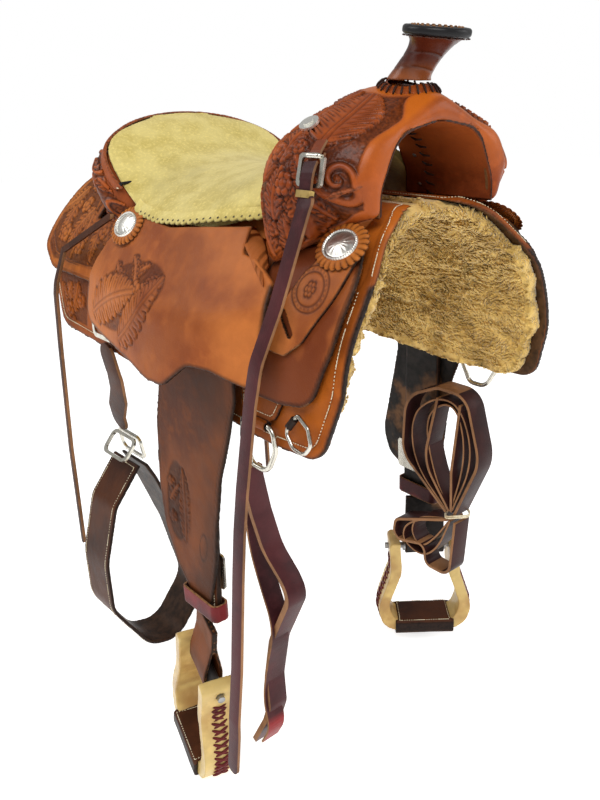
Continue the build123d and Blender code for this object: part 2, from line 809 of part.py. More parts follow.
def make_rosette(face):
    """Oval leather rosette under a concho."""
    with BuildPart() as rosette:
        with BuildSketch(face.offset(0.2)):
            Ellipse(ROSETTE_A, ROSETTE_B)
        extrude(amount=3.4)
    return rosette.part


# ---------------------------------------------------------------- every piece
FENDER_RIGHT = ([(40, -64), (48, -137), (62, -196), (66, -284), (58, -343), (32, -394), (4, -423),
                 (-44, -423), (-62, -351), (-68, -300), (-81, -231), (-104, -165), (-118, -119),
                 (-118, -64)], [10, 60, 60, 60, 50, 40, 8, 8, 60, 60, 60, 60, 40, 10])
FENDER_LEFT = ([(30, -64), (30, -184), (64, -334), (50, -372), (-4, -404), (-44, -404), (-62, -340),
                (-80, -213), (-118, -119), (-118, -64)], [10, 60, 60, 30, 20, 8, 60, 60, 40, 10])
STIRRUPS = {             # side: x, y, z of the bolt, then yaw and tilt in degrees
    "left": (222.0, -20.0, -525.0, 50.0, 0.0),
    "right": (-212.0, -8.0, -540.0, -15.0, 10.0),
}
LEATHER_END = {"left": (-20.0, -430.0), "right": (-20.0, -446.0)}


def make_side(side):
    """Swinging pieces of one side, by name."""
    y, z = LEATHER_END[side]
    fender = FENDER_LEFT if side == "left" else FENDER_RIGHT
    pieces = {
        "stirrup_leather": make_stirrup_leather(y, z),
        "fender": make_fender(*fender),
        "blevins_buckle": make_length_buckle(y, z),
        "hobble_strap": make_hobble_strap(y, z),
    }
    if side == "right":
        pieces = {name: mirrored(part) for name, part in pieces.items()}
    at = STIRRUPS[side]
    tilt = math.radians(at[4])
    drop = (z - 2 - at[2]) / math.cos(tilt) - LEATHER_W / 2 * math.tan(tilt)
    pieces["stirrup_loop"] = place(make_stirrup_loop(drop), *at)
    pieces["stirrup_frame"] = place(make_stirrup_frame(), *at)
    pieces["stirrup_tread"] = place(make_stirrup_tread(), *at)
    pieces["stirrup_bolt"] = place(make_stirrup_bolt(), *at)
    return pieces


os.makedirs("parts", exist_ok=True)

save_pair("skirt", make_skirt())
save_pair("fleece", make_fleece())
seat_jockey = make_seat_jockey()
save_pair("seat_jockey", seat_jockey)
save_pair("rear_jockey", make_rear_jockey())
save_pair("front_jockey", make_front_jockey())
save_pair("latigo_keeper", make_latigo_keeper())
save("tree_bars", both_sides(make_bar()))

tree_fork, fork_cover, gullet_lining = make_fork()
save("tree_fork", tree_fork)
save("fork_cover", fork_cover)
save("gullet_lining", gullet_lining)
for name, part in zip(("horn_core", "horn_wrap", "horn_dally_ring", "horn_cap"), make_horn()):
    save(name, part)
for name, part in zip(("tree_cantle", "cantle_back", "cantle_binding"),
                      make_cantle(both_sides(seat_jockey))):
    save(name, part)
seat_pad = seat_band(0, SEAT_T, 0, len(SEAT_STATIONS)) - rosette_pocket()
save("seat_pad", seat_pad)
save("ground_seat", make_ground_seat())

breast_dee, dee_clip = make_breast_dee()
save("rigging_plates", both_sides(group(make_rigging_plate(), dee_clip)))
save("rear_rigging_dees", both_sides(make_rear_dee()))
save("fork_screws", both_sides(make_fork_screw()))
save("strap_hanger", make_strap_hanger())
save("leather_loops", both_sides(make_leather_loop()))
concho_planes = [slope_plane(*centre, 0) for centre in CONCHO_FACES]
save("conchos", both_sides(group(*[make_concho(face) for face in concho_planes])))
save("rosettes", both_sides(group(*[make_rosette(face) for face in concho_planes])))

save_pair("breast_dee", breast_dee)
save_pair("rigging_dee", make_front_dee())
save("off_billet", make_off_billet())
save("latigo", make_latigo())
save("rear_billet", make_rear_billet())
save("rear_cinch", make_cinch())
save("cinch_buckles", make_cinch_buckles())
save("rope_strap", make_rope_strap())
save_pair("rear_string", make_rear_string())

for side in STIRRUPS:
    for name, part in make_side(side).items():
        save(f"{name}_{side}", part)
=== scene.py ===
import json
import math

import bmesh
import bpy
import numpy as np
from mathutils import Matrix, Vector
from mathutils.bvhtree import BVHTree
from mathutils.kdtree import KDTree

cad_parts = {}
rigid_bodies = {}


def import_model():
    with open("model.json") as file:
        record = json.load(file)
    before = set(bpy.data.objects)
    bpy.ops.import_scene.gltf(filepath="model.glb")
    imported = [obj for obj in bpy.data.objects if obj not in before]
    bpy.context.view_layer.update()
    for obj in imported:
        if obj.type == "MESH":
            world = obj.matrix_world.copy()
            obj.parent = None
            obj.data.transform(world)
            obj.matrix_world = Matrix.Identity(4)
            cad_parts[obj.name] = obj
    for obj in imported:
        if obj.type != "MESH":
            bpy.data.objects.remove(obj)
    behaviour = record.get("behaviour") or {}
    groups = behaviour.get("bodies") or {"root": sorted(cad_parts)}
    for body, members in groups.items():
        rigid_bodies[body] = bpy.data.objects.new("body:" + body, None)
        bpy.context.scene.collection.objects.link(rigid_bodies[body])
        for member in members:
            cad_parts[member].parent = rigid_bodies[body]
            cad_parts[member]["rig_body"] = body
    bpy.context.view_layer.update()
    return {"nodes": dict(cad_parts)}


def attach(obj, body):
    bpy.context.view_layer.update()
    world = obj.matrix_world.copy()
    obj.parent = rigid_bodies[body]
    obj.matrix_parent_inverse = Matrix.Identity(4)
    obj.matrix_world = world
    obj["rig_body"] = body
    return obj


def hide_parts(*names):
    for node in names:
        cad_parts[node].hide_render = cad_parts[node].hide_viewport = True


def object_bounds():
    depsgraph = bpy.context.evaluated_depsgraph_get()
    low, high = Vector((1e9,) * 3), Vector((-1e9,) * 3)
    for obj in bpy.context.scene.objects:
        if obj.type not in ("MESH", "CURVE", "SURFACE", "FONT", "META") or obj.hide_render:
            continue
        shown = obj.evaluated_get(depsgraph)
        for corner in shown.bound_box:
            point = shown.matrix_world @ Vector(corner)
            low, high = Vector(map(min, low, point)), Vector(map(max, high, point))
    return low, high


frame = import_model()
NODES = frame["nodes"]
SIDES = (("left", 1.0), ("right", -1.0))
MM = 0.001
OUTER, INNER, RIM = 1, 2, 0
STIRRUP_PLACES = {       # x, y and z of the bolt in mm, then yaw and tilt in degrees
    "left": (222, -20, -525, 50, 0), "right": (-212, -8, -540, -15, 10)}
STIRRUP_POST = ([-16, 40, 110, 156], [61, 57, 80, 68])    # depth below the bolt, half width, mm
RIM_BACK = np.array([0, 0.72, -0.69])        # back from the cantle's rim
RIM_POINT = np.array([0, 0.165, 0.057])      # on the plane of the cantle's rim
HORN_CAP_CENTRE = np.array([0, -0.218, 0.2465])
HORN_FOOT = np.array([0, -0.181, 0.25])      # above the middle of the horn's collar
ROSETTE = (36, 29)                           # half length and half height, mm
CONCHO = (24, 19)
FLUTES, ROPE_TURNS = 24, 22                  # pleats of a rosette, twists of a concho's edge


# ---------------------------------------------------------------- camera, light, backdrop
def make_camera():
    """Camera in front of the saddle's right side, a little above it."""
    azimuth, elevation, roll = math.radians(40.2), math.radians(20.85), math.radians(-1.78)
    back = Vector((-math.sin(azimuth) * math.cos(elevation),
                   -math.cos(azimuth) * math.cos(elevation), math.sin(elevation)))
    right = Vector((math.cos(azimuth), -math.sin(azimuth), 0))
    up = back.cross(right)
    level, tilted = math.cos(roll), math.sin(roll)
    x_axis, y_axis = right * level + up * tilted, up * level - right * tilted
    data = bpy.data.cameras.new("camera")
    data.lens, data.sensor_width = 35.95, 36
    data.shift_x, data.shift_y = -0.0214, -0.0055
    camera = bpy.data.objects.new("camera", data)
    turn = Matrix((x_axis, y_axis, back)).transposed().to_4x4()
    camera.matrix_world = Matrix.Translation((-0.669, -0.806, 0.198)) @ turn
    bpy.context.scene.collection.objects.link(camera)
    bpy.context.scene.camera = camera


def add_light(name, place, target, size, power):
    """Soft square light aimed at a point."""
    data = bpy.data.lights.new(name, "AREA")
    data.size, data.energy = size, power
    light = bpy.data.objects.new(name, data)
    light.location = place
    aim = Vector(target) - Vector(place)
    light.rotation_euler = aim.to_track_quat("-Z", "Y").to_euler()
    bpy.context.scene.collection.objects.link(light)


def make_studio():
    """White backdrop, softer light from all round, and three large lights."""
    world = bpy.data.worlds.new("studio")
    bpy.context.scene.world = world
    world.use_nodes = True
    tree = world.node_tree
    backdrop, ambient = tree.nodes["Background"], tree.nodes.new("ShaderNodeBackground")
    for node, strength in ((backdrop, 1.0), (ambient, 0.40)):
        node.inputs["Color"].default_value = (1, 1, 1, 1)
        node.inputs["Strength"].default_value = strength
    seen = tree.nodes.new("ShaderNodeLightPath").outputs["Is Camera Ray"]
    choose = tree.nodes.new("ShaderNodeMixShader")
    tree.links.new(seen, choose.inputs[0])
    tree.links.new(ambient.outputs[0], choose.inputs[1])
    tree.links.new(backdrop.outputs[0], choose.inputs[2])
    tree.links.new(choose.outputs[0], tree.nodes["World Output"].inputs["Surface"])
    add_light("key", (-1.3, -1.5, 2.1), (0, 0, 0), 1.3, 46)
    add_light("fill", (2.0, -1.8, 1.0), (0, 0, -0.1), 1.5, 22)
    add_light("rear", (-1.7, 1.8, 1.9), (0, 0, 0), 1.4, 26)


# ---------------------------------------------------------------- noise
def lattice(cell, seed):
    """Repeatable random number for each integer cell."""
    h = (cell[:, 0] * 73856093) ^ (cell[:, 1] * 19349663) ^ (cell[:, 2] * 83492791) ^ (seed * 7919)
    h = (h ^ (h >> 13)) * 1274126177
    return ((h ^ (h >> 16)) & 0xFFFFFF) / float(0xFFFFFF)


def noise(points, size, seed=0):
    """Smooth noise from 0 to 1 whose features measure about size."""
    q = points / size
    cell = np.floor(q).astype(np.int64)
    f = q - cell
    f = f * f * (3 - 2 * f)
    total = np.zeros(len(points))
    for corner in range(8):
        step = np.array([corner & 1, corner >> 1 & 1, corner >> 2 & 1])
        weight = np.prod(np.where(step, f, 1 - f), axis=1)
        total += weight * lattice(cell + step, seed)
    return total


def cloud(points, size, seed=0, octaves=3):
    """Sum of finer and finer noise, from 0 to 1."""
    total, share = np.zeros(len(points)), 0.0
    for i in range(octaves):
        total += noise(points, size / 2 ** i, seed + 17 * i) / 2 ** i
        share += 1 / 2 ** i
    return total / share


def step(x, a, b):
    """0 below a, 1 above b, smooth between."""
    t = np.clip((x - a) / (b - a), 0, 1)
    return t * t * (3 - 2 * t)


# ---------------------------------------------------------------- materials
def srgb(red, green, blue):
    return tuple((c / 255 / 12.92) if c <= 10 else ((c / 255 + 0.055) / 1.055) ** 2.4
                 for c in (red, green, blue)) + (1.0,)


class Shader:
    """Small helper that adds and joins nodes of one material."""

    def __init__(self, name):
        self.material = bpy.data.materials.new(name)
        self.material.use_nodes = True
        self.tree = self.material.node_tree
        self.shader = self.tree.nodes["Principled BSDF"]
        self.place = self.add("ShaderNodeTexCoord").outputs["Object"]

    def add(self, kind, **settings):
        node = self.tree.nodes.new(kind)
        for key, value in settings.items():
            if key in node.inputs:
                node.inputs[key].default_value = value
            else:
                setattr(node, key, value)
        return node

    def join(self, a, b):
        self.tree.links.new(a, b)

    def noise(self, scale, detail=3.0, rough=0.55):
        node = self.add("ShaderNodeTexNoise", Scale=scale, Detail=detail, Roughness=rough)
        self.join(self.place, node.inputs["Vector"])
        return node.outputs["Fac"]

    def ramp(self, value, low, high):
        node = self.add("ShaderNodeMapRange", interpolation_type="SMOOTHSTEP")
        node.inputs["From Min"].default_value = low
        node.inputs["From Max"].default_value = high
        self.join(value, node.inputs["Value"])
        return node.outputs["Result"]

    def scaled(self, value, amount):
        node = self.add("ShaderNodeMath", operation="MULTIPLY")
        self.join(value, node.inputs[0])
        node.inputs[1].default_value = amount
        return node.outputs[0]

    def mix(self, share, first, second):
        node = self.add("ShaderNodeMix", data_type="RGBA")
        self.join(share, node.inputs["Factor"])
        for socket, value in ((node.inputs[6], first), (node.inputs[7], second)):
            if isinstance(value, tuple):
                socket.default_value = value
            else:
                self.join(value, socket)
        return node.outputs[2]

    def mask(self, name):
        return self.add("ShaderNodeAttribute", attribute_name=name).outputs["Fac"]

    def bump(self, heights):
        """Chain of bumps: (height socket, distance in metres) pairs."""
        normal = None
        for height, distance in heights:
            node = self.add("ShaderNodeBump", Strength=0.6)
            node.inputs["Distance"].default_value = distance
            self.join(height, node.inputs["Height"])
            if normal is not None:
                self.join(normal, node.inputs["Normal"])
            normal = node.outputs["Normal"]
        self.join(normal, self.shader.inputs["Normal"])

    def rough(self, value, low, high):
        node = self.add("ShaderNodeMapRange")
        node.inputs["To Min"].default_value = low
        node.inputs["To Max"].default_value = high
        self.join(value, node.inputs["Value"])
        self.join(node.outputs["Result"], self.shader.inputs["Roughness"])


def leather(name, base, deep, rim, flesh, stain_and_shade=None, cut=(52, 20, 10), gloss=(0.34, 0.55),
            grain=0.0005, coat=0.03, patch=None):
    """Leather: mottled dye, stains, dark tooling cuts, burnished rim and rough flesh side."""
    s = Shader(name)
    large, small, fine = s.noise(9, 4), s.noise(55, 4), s.noise(620, 3, 0.7)
    colour = s.mix(s.ramp(large, 0.36, 0.66), srgb(*base), srgb(*deep))
    lighter = tuple(min(255, c * 1.13) for c in base)
    colour = s.mix(s.scaled(s.ramp(small, 0.42, 0.75), 0.45), colour, srgb(*lighter))
    # Stain colour by the mask below: real stains on most pieces, painted shadow on the front
    # jockeys.
    if stain_and_shade:
        colour = s.mix(s.mask("stain_and_shade"), colour, srgb(*stain_and_shade))
    colour = s.mix(s.mask("cut"), colour, srgb(*cut))
    worn = s.mix(s.ramp(s.noise(260, 4), 0.42, 0.7), srgb(*rim), srgb(*[c * 0.55 for c in rim]))
    colour = s.mix(s.mask("rim"), colour, worn)
    rough_side = s.mix(s.ramp(s.noise(70, 5), 0.35, 0.68), srgb(*flesh),
                       srgb(*[c * 0.62 for c in flesh]))
    if patch:
        rough_side = s.mix(s.ramp(s.noise(7, 5, 0.62), 0.5, 0.6), rough_side, srgb(*patch))
    colour = s.mix(s.mask("flesh"), colour, rough_side)
    s.join(colour, s.shader.inputs["Base Color"])
    s.rough(small, *gloss)
    s.shader.inputs["Specular IOR Level"].default_value = 0.1
    s.shader.inputs["Coat Weight"].default_value = coat
    s.shader.inputs["Coat Roughness"].default_value = 0.3
    pores = s.add("ShaderNodeTexVoronoi", Scale=430.0, feature="DISTANCE_TO_EDGE")
    s.join(s.place, pores.inputs["Vector"])
    s.bump([(s.noise(120, 4), grain), (pores.outputs["Distance"], grain * 0.8),
            (fine, grain * 0.35)])
    return s.material


def metal(name, colour, dull, rough=(0.16, 0.34), tarnish=0.5):
    """Polished metal with duller worn patches and dark engraving."""
    s = Shader(name)
    wear = s.noise(90, 5, 0.6)
    shade = s.mix(s.scaled(s.ramp(wear, 0.45, 0.72), tarnish), srgb(*colour), srgb(*dull))
    shade = s.mix(s.mask("cut"), shade, srgb(46, 42, 36))
    s.join(shade, s.shader.inputs["Base Color"])
    s.shader.inputs["Metallic"].default_value = 1.0
    s.rough(wear, *rough)
    s.bump([(s.noise(300, 3), 0.00015)])
    return s.material


def fibre(name, base, deep, size=170, rough=(0.8, 0.95), depth=0.001, sheen=0.25):
    """Wool, suede or thread: soft, matt and finely broken up."""
    s = Shader(name)
    colour = s.mix(s.ramp(s.noise(size * 0.12, 4), 0.36, 0.68), srgb(*base), srgb(*deep))
    light = tuple(min(255, c * 1.12) for c in base)
    colour = s.mix(s.scaled(s.ramp(s.noise(size, 4, 0.65), 0.45, 0.72), 0.6), colour, srgb(*light))
    # Darker by the mask below: dirt and painted shade on the seat, painted shade in the hollows of
    # the wool.
    colour = s.mix(s.mask("stain_and_shade"), colour, srgb(*[c * 0.6 for c in deep]))
    colour = s.mix(s.mask("rim"), colour, srgb(*[c * 0.75 for c in deep]))
    s.join(colour, s.shader.inputs["Base Color"])
    s.rough(s.noise(size, 3), *rough)
    s.shader.inputs["Sheen Weight"].default_value = sheen
    s.shader.inputs["Sheen Roughness"].default_value = 0.5
    s.bump([(s.noise(size, 4, 0.7), depth), (s.noise(size * 5, 3), depth * 0.4)])
    return s.material


TAN = leather("tan leather", (180, 104, 50), (150, 78, 36), (52, 34, 24), (128, 92, 58),
              stain_and_shade=(104, 46, 24), cut=(66, 26, 8))
SKIRTING = leather("skirt leather", (174, 92, 28), (138, 66, 18), (44, 32, 26), (84, 58, 36),
                   stain_and_shade=(96, 44, 16), cut=(62, 26, 8))
FENDER = leather("fender leather", (116, 60, 22), (80, 38, 14), (44, 30, 22), (46, 42, 40),
                 stain_and_shade=(62, 34, 18), gloss=(0.42, 0.62), cut=(36, 16, 6), patch=(118, 84, 56))
CARVED = leather("carved leather", (166, 82, 32), (128, 56, 20), (150, 80, 46), (120, 84, 52),
                 stain_and_shade=(190, 98, 26), cut=(40, 13, 4), gloss=(0.26, 0.42), coat=0.16)
# Darker smooth leather: real on the gullet's lining, the hanger tab, the ground seat and the tree's
# cantle; on the tree's fork it is painted shade of the undercut pocket.
SMOOTH_AND_FORK_SHADE = leather("smooth leather and fork shade", (140, 70, 34), (110, 50, 24), (60, 32, 20), (120, 84, 52),
                 stain_and_shade=(170, 86, 38), cut=(48, 16, 6), gloss=(0.3, 0.45), coat=0.1)
HOUSING = leather("housing leather", (180, 106, 44), (152, 80, 30), (60, 38, 24), (130, 94, 60),
                  stain_and_shade=(124, 68, 40), cut=(60, 24, 6))
BURGUNDY = leather("strap leather", (78, 38, 40), (54, 26, 28), (150, 108, 72), (66, 38, 34),
                   stain_and_shade=(138, 34, 36), gloss=(0.34, 0.52), coat=0.06)
LATIGO = leather("latigo leather", (58, 32, 30), (36, 20, 20), (120, 84, 56), (50, 32, 28),
                 stain_and_shade=(120, 40, 40), gloss=(0.34, 0.52), coat=0.05)
RAW_EDGE = leather("raw strap edge", (150, 108, 74), (112, 78, 52), (150, 108, 72), (120, 84, 60))
DARK = leather("dark leather", (78, 44, 26), (52, 28, 18), (40, 26, 20), (66, 46, 34),
               stain_and_shade=(42, 24, 16), cut=(26, 14, 10))
OXBLOOD = leather("oxblood leather", (76, 28, 14), (48, 18, 11), (60, 30, 22), (90, 60, 44),
                  stain_and_shade=(150, 82, 40), gloss=(0.2, 0.34), coat=0.4, grain=0.0003)
BLACK = leather("black leather", (24, 23, 24), (14, 14, 15), (26, 24, 24), (60, 50, 44),
                gloss=(0.3, 0.5), coat=0.25)
RAWHIDE = leather("rawhide", (210, 182, 116), (182, 142, 80), (150, 110, 64), (200, 170, 120),
                  stain_and_shade=(150, 104, 60), gloss=(0.22, 0.4), coat=0.3, grain=0.0008)
SUEDE = fibre("seat suede", (212, 194, 118), (194, 174, 92), 260, (0.85, 0.98), 0.0004, 0.2)
WOOL = fibre("wool", (222, 186, 104), (178, 140, 62), 190, (0.85, 0.98), 0.0015, 0.3)
THREAD = fibre("waxed thread", (226, 214, 184), (196, 176, 138), 700, (0.6, 0.8), 0.0002, 0.1)
LACE = leather("lace", (104, 40, 40), (74, 28, 30), (70, 28, 28), (90, 60, 50), gloss=(0.3, 0.5))
DARK_LACE = leather("dark lace", (66, 40, 30), (44, 26, 20), (40, 24, 20), (60, 40, 32))
NICKEL = metal("nickel", (206, 202, 190), (130, 124, 108))
SILVER = metal("silver", (244, 242, 234), (176, 172, 158), (0.24, 0.42), 0.3)
BRASS = metal("brass", (196, 168, 104), (128, 98, 52), (0.3, 0.5))
STEEL = metal("steel", (160, 160, 160), (100, 98, 94), (0.35, 0.55))


# ---------------------------------------------------------------- CAD nodes read as sheets
def welded(node):
    """CAD node's mesh with its shared points joined."""
    bm = bmesh.new()
    bm.from_mesh(NODES[node].data)
    bmesh.ops.remove_doubles(bm, verts=bm.verts, dist=1e-6)
    bm.faces.ensure_lookup_table()
    bm.normal_update()
    return bm


def face_groups(bm, angle=42):
    """Faces grouped by smooth surface; the groups meet at sharp edges."""
    limit = math.radians(angle)
    group = [-1] * len(bm.faces)
    count = 0
    for first in bm.faces:
        if group[first.index] >= 0:
            continue
        stack, group[first.index] = [first], count
        while stack:
            face = stack.pop()
            for edge in face.edges:
                if len(edge.link_faces) != 2 or edge.calc_face_angle(0) > limit:
                    continue
                for other in edge.link_faces:
                    if group[other.index] < 0:
                        group[other.index] = count
                        stack.append(other)
        count += 1
    return np.array(group), count


def sheet_labels(bm, outward):
    """OUTER, INNER or RIM for every face, by the side that it and its smooth surface look to."""
    group, count = face_groups(bm)
    score, area = np.zeros(count), np.zeros(count)
    facing = np.zeros(len(bm.faces))
    for face in bm.faces:
        size = face.calc_area()
        facing[face.index] = face.normal.dot(outward(face.calc_center_median()).normalized())
        score[group[face.index]] += size * facing[face.index]
        area[group[face.index]] += size
    share = (score / np.maximum(area, 1e-12))[group]
    big = (area > 0.1 * area.max())[group]
    clear = np.abs(share) > 0.3
    outer = big & np.where(clear, (share > 0) & (facing > 0.12), facing > 0.3)
    inner = big & np.where(clear, (share < 0) & (facing < -0.12), facing < -0.3)
    return np.where(outer, OUTER, np.where(inner, INNER, RIM))


def outline_loops(bm, labels):
    """Closed chains of points round the outer faces, longest first."""
    following = {}
    for edge in bm.edges:
        kinds = [labels[f.index] == OUTER for f in edge.link_faces]
        if len(kinds) == 2 and kinds[0] != kinds[1]:
            for a, b in ((edge.verts[0], edge.verts[1]), (edge.verts[1], edge.verts[0])):
                following.setdefault(a, []).append(b)
    loops, used = [], set()
    for start in sorted(following, key=lambda v: v.index):
        if start in used:
            continue
        chain, here, before = [start], start, None
        used.add(start)
        while True:
            ahead = [v for v in following[here] if v is not before and v not in used]
            if not ahead:
                break
            before, here = here, ahead[0]
            used.add(here)
            chain.append(here)
        if len(chain) > 3:
            loops.append(np.array([v.co[:] for v in chain]))
    loops.sort(key=lambda c: -np.linalg.norm(np.diff(c, axis=0), axis=1).sum())
    return loops


def resample(points, spacing, closed=True):
    """Points at an even spacing along a chain."""
    if closed:
        points = np.vstack([points, points[:1]])
    run = np.concatenate([[0], np.cumsum(np.linalg.norm(np.diff(points, axis=0), axis=1))])
    count = max(4, int(round(run[-1] / spacing)))
    at = np.linspace(0, run[-1], count + 1)[:-1 if closed else None]
    return np.stack([np.interp(at, run, points[:, i]) for i in range(3)], axis=1)


def side_outward(sign):
    return lambda p: Vector((sign, 0, 0.45))


def link(name, mesh, body, material):
    """New piece that rides on a body."""
    ob = bpy.data.objects.new(name, mesh)
    bpy.context.scene.collection.objects.link(ob)
    mesh.materials.append(material)
    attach(ob, body)
    return ob


def put(mesh, name, values):
    """Stores one number a vertex for the materials to read."""
    layer = mesh.attributes.get(name) or mesh.attributes.new(name, "FLOAT", "POINT")
    layer.data.foreach_set("value", np.asarray(values, np.float32))


def new_mesh(name, verts, faces, smooth=True):
    mesh = bpy.data.meshes.new(name)
    mesh.from_pydata([tuple(v) for v in verts], [], faces)
    if smooth:
        mesh.shade_smooth()
    return mesh


def rows_joined(rows, size):
    """Quads between rows of size points, each row a closed ring."""
    return [(size * i + k, size * i + (k + 1) % size, size * (i + 1) + (k + 1) % size,
             size * (i + 1) + k) for i in range(rows - 1) for k in range(size)]


def caps(rows, size):
    """Faces that close the first and the last row."""
    return [tuple(range(size))[::-1], tuple(size * (rows - 1) + k for k in range(size))]


class Skin:
    """Evenly meshed copy of a CAD node that knows its outer face, its rim and its outline."""

    def __init__(self, node, voxel, outward):
        self.node, self.body = node, NODES[node]["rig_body"]
        bm = welded(node)
        labels = sheet_labels(bm, outward)
        self.tree = BVHTree.FromBMesh(bm)
        self.loops = outline_loops(bm, labels)
        outer = [[v.index for v in f.verts] for f in bm.faces if labels[f.index] == OUTER]
        self.outer_tree = BVHTree.FromPolygons([v.co for v in bm.verts], outer) if outer else None
        source = bpy.data.meshes.new("source")
        bm.to_mesh(source)
        bm.free()
        ob = bpy.data.objects.new("remesh", source)
        bpy.context.scene.collection.objects.link(ob)
        remesh = ob.modifiers.new("remesh", "REMESH")
        remesh.mode, remesh.voxel_size = "VOXEL", voxel * MM
        evaluated = ob.evaluated_get(bpy.context.evaluated_depsgraph_get())
        self.mesh = bpy.data.meshes.new_from_object(evaluated)
        bpy.data.objects.remove(ob)
        count = len(self.mesh.vertices)
        co = np.zeros(count * 3, np.float32)
        self.mesh.vertices.foreach_get("co", co)
        near = [self.tree.find_nearest(p) for p in co.reshape(-1, 3).tolist()]
        self.co = np.array([hit[0][:] for hit in near])
        self.label = labels[[hit[2] for hit in near]]
        self.move(np.zeros(count))
        self.edge = np.full(count, 1.0)
        self.along = np.zeros(count)
        if self.loops:
            chain = resample(self.loops[0], 0.0015)
            tree = KDTree(len(chain))
            for i, p in enumerate(chain):
                tree.insert(p, i)
            tree.balance()
            for i in np.nonzero(self.label != INNER)[0]:
                hit = tree.find(self.co[i])
                self.edge[i], self.along[i] = hit[2], hit[1] * 0.0015
        self.outer = (self.label == OUTER).astype(float)
        self.cut, self.stain_and_shade = np.zeros(count), np.zeros(count)

    def move(self, heights):
        """Moves the points out along their normals by heights in metres."""
        normals = np.zeros(len(self.co) * 3, np.float32)
        self.mesh.vertices.foreach_set("co", self.co.astype(np.float32).ravel())
        self.mesh.update()
        self.mesh.vertex_normals.foreach_get("vector", normals)
        self.normal = normals.reshape(-1, 3)
        self.co = self.co + self.normal * np.asarray(heights)[:, None]

    def smooth(self, rounds, share=0.6):
        """Relaxes the surface, which rounds its sharp edges."""
        edges = np.zeros(len(self.mesh.edges) * 2, np.int32)
        self.mesh.edges.foreach_get("vertices", edges)
        a, b = edges.reshape(-1, 2).T
        both, ends = np.concatenate([a, b]), np.concatenate([b, a])
        size = len(self.co)
        count = np.maximum(np.bincount(both, minlength=size), 1)[:, None]
        for _ in range(rounds):
            mean = np.stack([np.bincount(both, self.co[ends, k], size) for k in range(3)], 1)
            self.co = self.co + share * (mean / count - self.co)
        self.move(np.zeros(size))

    def uv(self):
        """Side view coordinates in millimetres: along the saddle, and up."""
        return self.co[:, 1] / MM, self.co[:, 2] / MM

    def round_edge(self, width=2.6, drop=1.0):
        """Bevels the outer edge as an edging tool does."""
        close = np.clip(1 - self.edge / (width * MM), 0, 1)
        self.move(-drop * MM * close ** 2 * self.outer)

    def tool(self, tooling, depth):
        """Presses a tooled pattern into the outer face."""
        self.move(tooling.height * depth * MM * self.outer)
        self.cut = np.maximum(self.cut, np.clip(tooling.cut, 0, 1) * self.outer)

    def uneven(self, amount, size=0.03, seed=3):
        self.move((cloud(self.co, size, seed) - 0.5) * 2 * amount * MM)

    def groove(self, distance, width=1.4, depth=0.5, dark=0.5):
        """Line run round the outer face at a distance from its edge."""
        near = np.exp(-((self.edge / MM - distance) / width) ** 2) * self.outer
        self.move(-near * depth * MM)
        self.cut = np.maximum(self.cut, near * dark)

    def finish(self, material, name=None, rim_width=1.6):
        self.mesh.vertices.foreach_set("co", self.co.astype(np.float32).ravel())
        rim = np.clip(1 - self.edge / (rim_width * MM), 0, 1) ** 0.7
        rim = np.where(self.label == RIM, 1.0, rim)
        rim = np.where(self.label == INNER, 0.0, rim)
        for key, values in (("cut", self.cut), ("stain_and_shade", self.stain_and_shade), ("rim", rim),
                            ("flesh", (self.label == INNER).astype(float))):
            put(self.mesh, key, values)
        self.mesh.shade_smooth()
        self.mesh.update()
        ob = link(name or self.node + "_skin", self.mesh, self.body, material)
        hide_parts(self.node)
        return ob

    def inner_line(self, distance, loop=0, spacing=0.002):
        """Points on the outer face at a distance inside its outline, and the normals there."""
        chain = resample(self.loops[loop], spacing)
        smooth = (np.roll(chain, 3, 0) + np.roll(chain, -3, 0) + chain * 2) / 4
        along = np.roll(smooth, -2, 0) - np.roll(smooth, 2, 0)
        along /= np.maximum(np.linalg.norm(along, axis=1), 1e-9)[:, None]
        nearest = self.outer_tree.find_nearest
        normal = np.array([nearest(p)[1][:] for p in smooth.tolist()])
        best = None
        for sign in (1, -1):
            side = np.cross(along, normal) * sign
            side /= np.maximum(np.linalg.norm(side, axis=1), 1e-9)[:, None]
            hits = [nearest(p) for p in (smooth + side * distance * MM).tolist()]
            error = np.mean([hit[3] for hit in hits])
            if best is None or error < best[0]:
                best = (error, hits)
        keep = [i for i, hit in enumerate(best[1]) if hit[3] < 0.45 * distance * MM]
        return (np.array([best[1][i][0][:] for i in keep]),
                np.array([best[1][i][1][:] for i in keep]))


def stitch_mesh(points, normals, pitch, length, radius, lift=0.3, slant=0.0):
    """Mesh of separate stitches along a line of points."""
    run = np.linalg.norm(np.diff(points, axis=0), axis=1)
    at = np.concatenate([[0], np.cumsum(run)])
    verts, faces = [], []
    ring = [(math.cos(a), math.sin(a)) for a in np.linspace(0, 2 * math.pi, 6)[:-1]]
    for start in np.arange(0, at[-1] - length, pitch):
        i = int(np.searchsorted(at, start))
        j = min(int(np.searchsorted(at, start + length)), len(points) - 1)
        a, b, n = points[i], points[j], normals[i]
        span = np.linalg.norm(b - a)
        if span < 0.5 * length or span > 1.6 * length:
            continue
        d = (b - a) / span
        side = np.cross(n, d)
        a, b = a - side * slant, b + side * slant
        d = (b - a) / np.linalg.norm(b - a)
        side = np.cross(n, d)
        base = len(verts)
        for share, size, rise in ((0, 0.45, 0.0), (0.2, 1, 0.8), (0.8, 1, 0.8), (1, 0.45, 0.0)):
            c = a + (b - a) * share + n * radius * (lift + rise)
            for x, y in ring:
                verts.append(c + side * x * radius * size + n * y * radius * size)
        for k in range(3):
            for m in range(5):
                faces.append((base + 5 * k + m, base + 5 * k + (m + 1) % 5,
                              base + 5 * k + 5 + (m + 1) % 5, base + 5 * k + 5 + m))
        faces.append(tuple(base + m for m in range(5))[::-1])
        faces.append(tuple(base + 15 + m for m in range(5)))
    mesh = bpy.data.meshes.new("stitches")
    mesh.from_pydata([tuple(v) for v in verts], [], faces)
    mesh.shade_smooth()
    return mesh


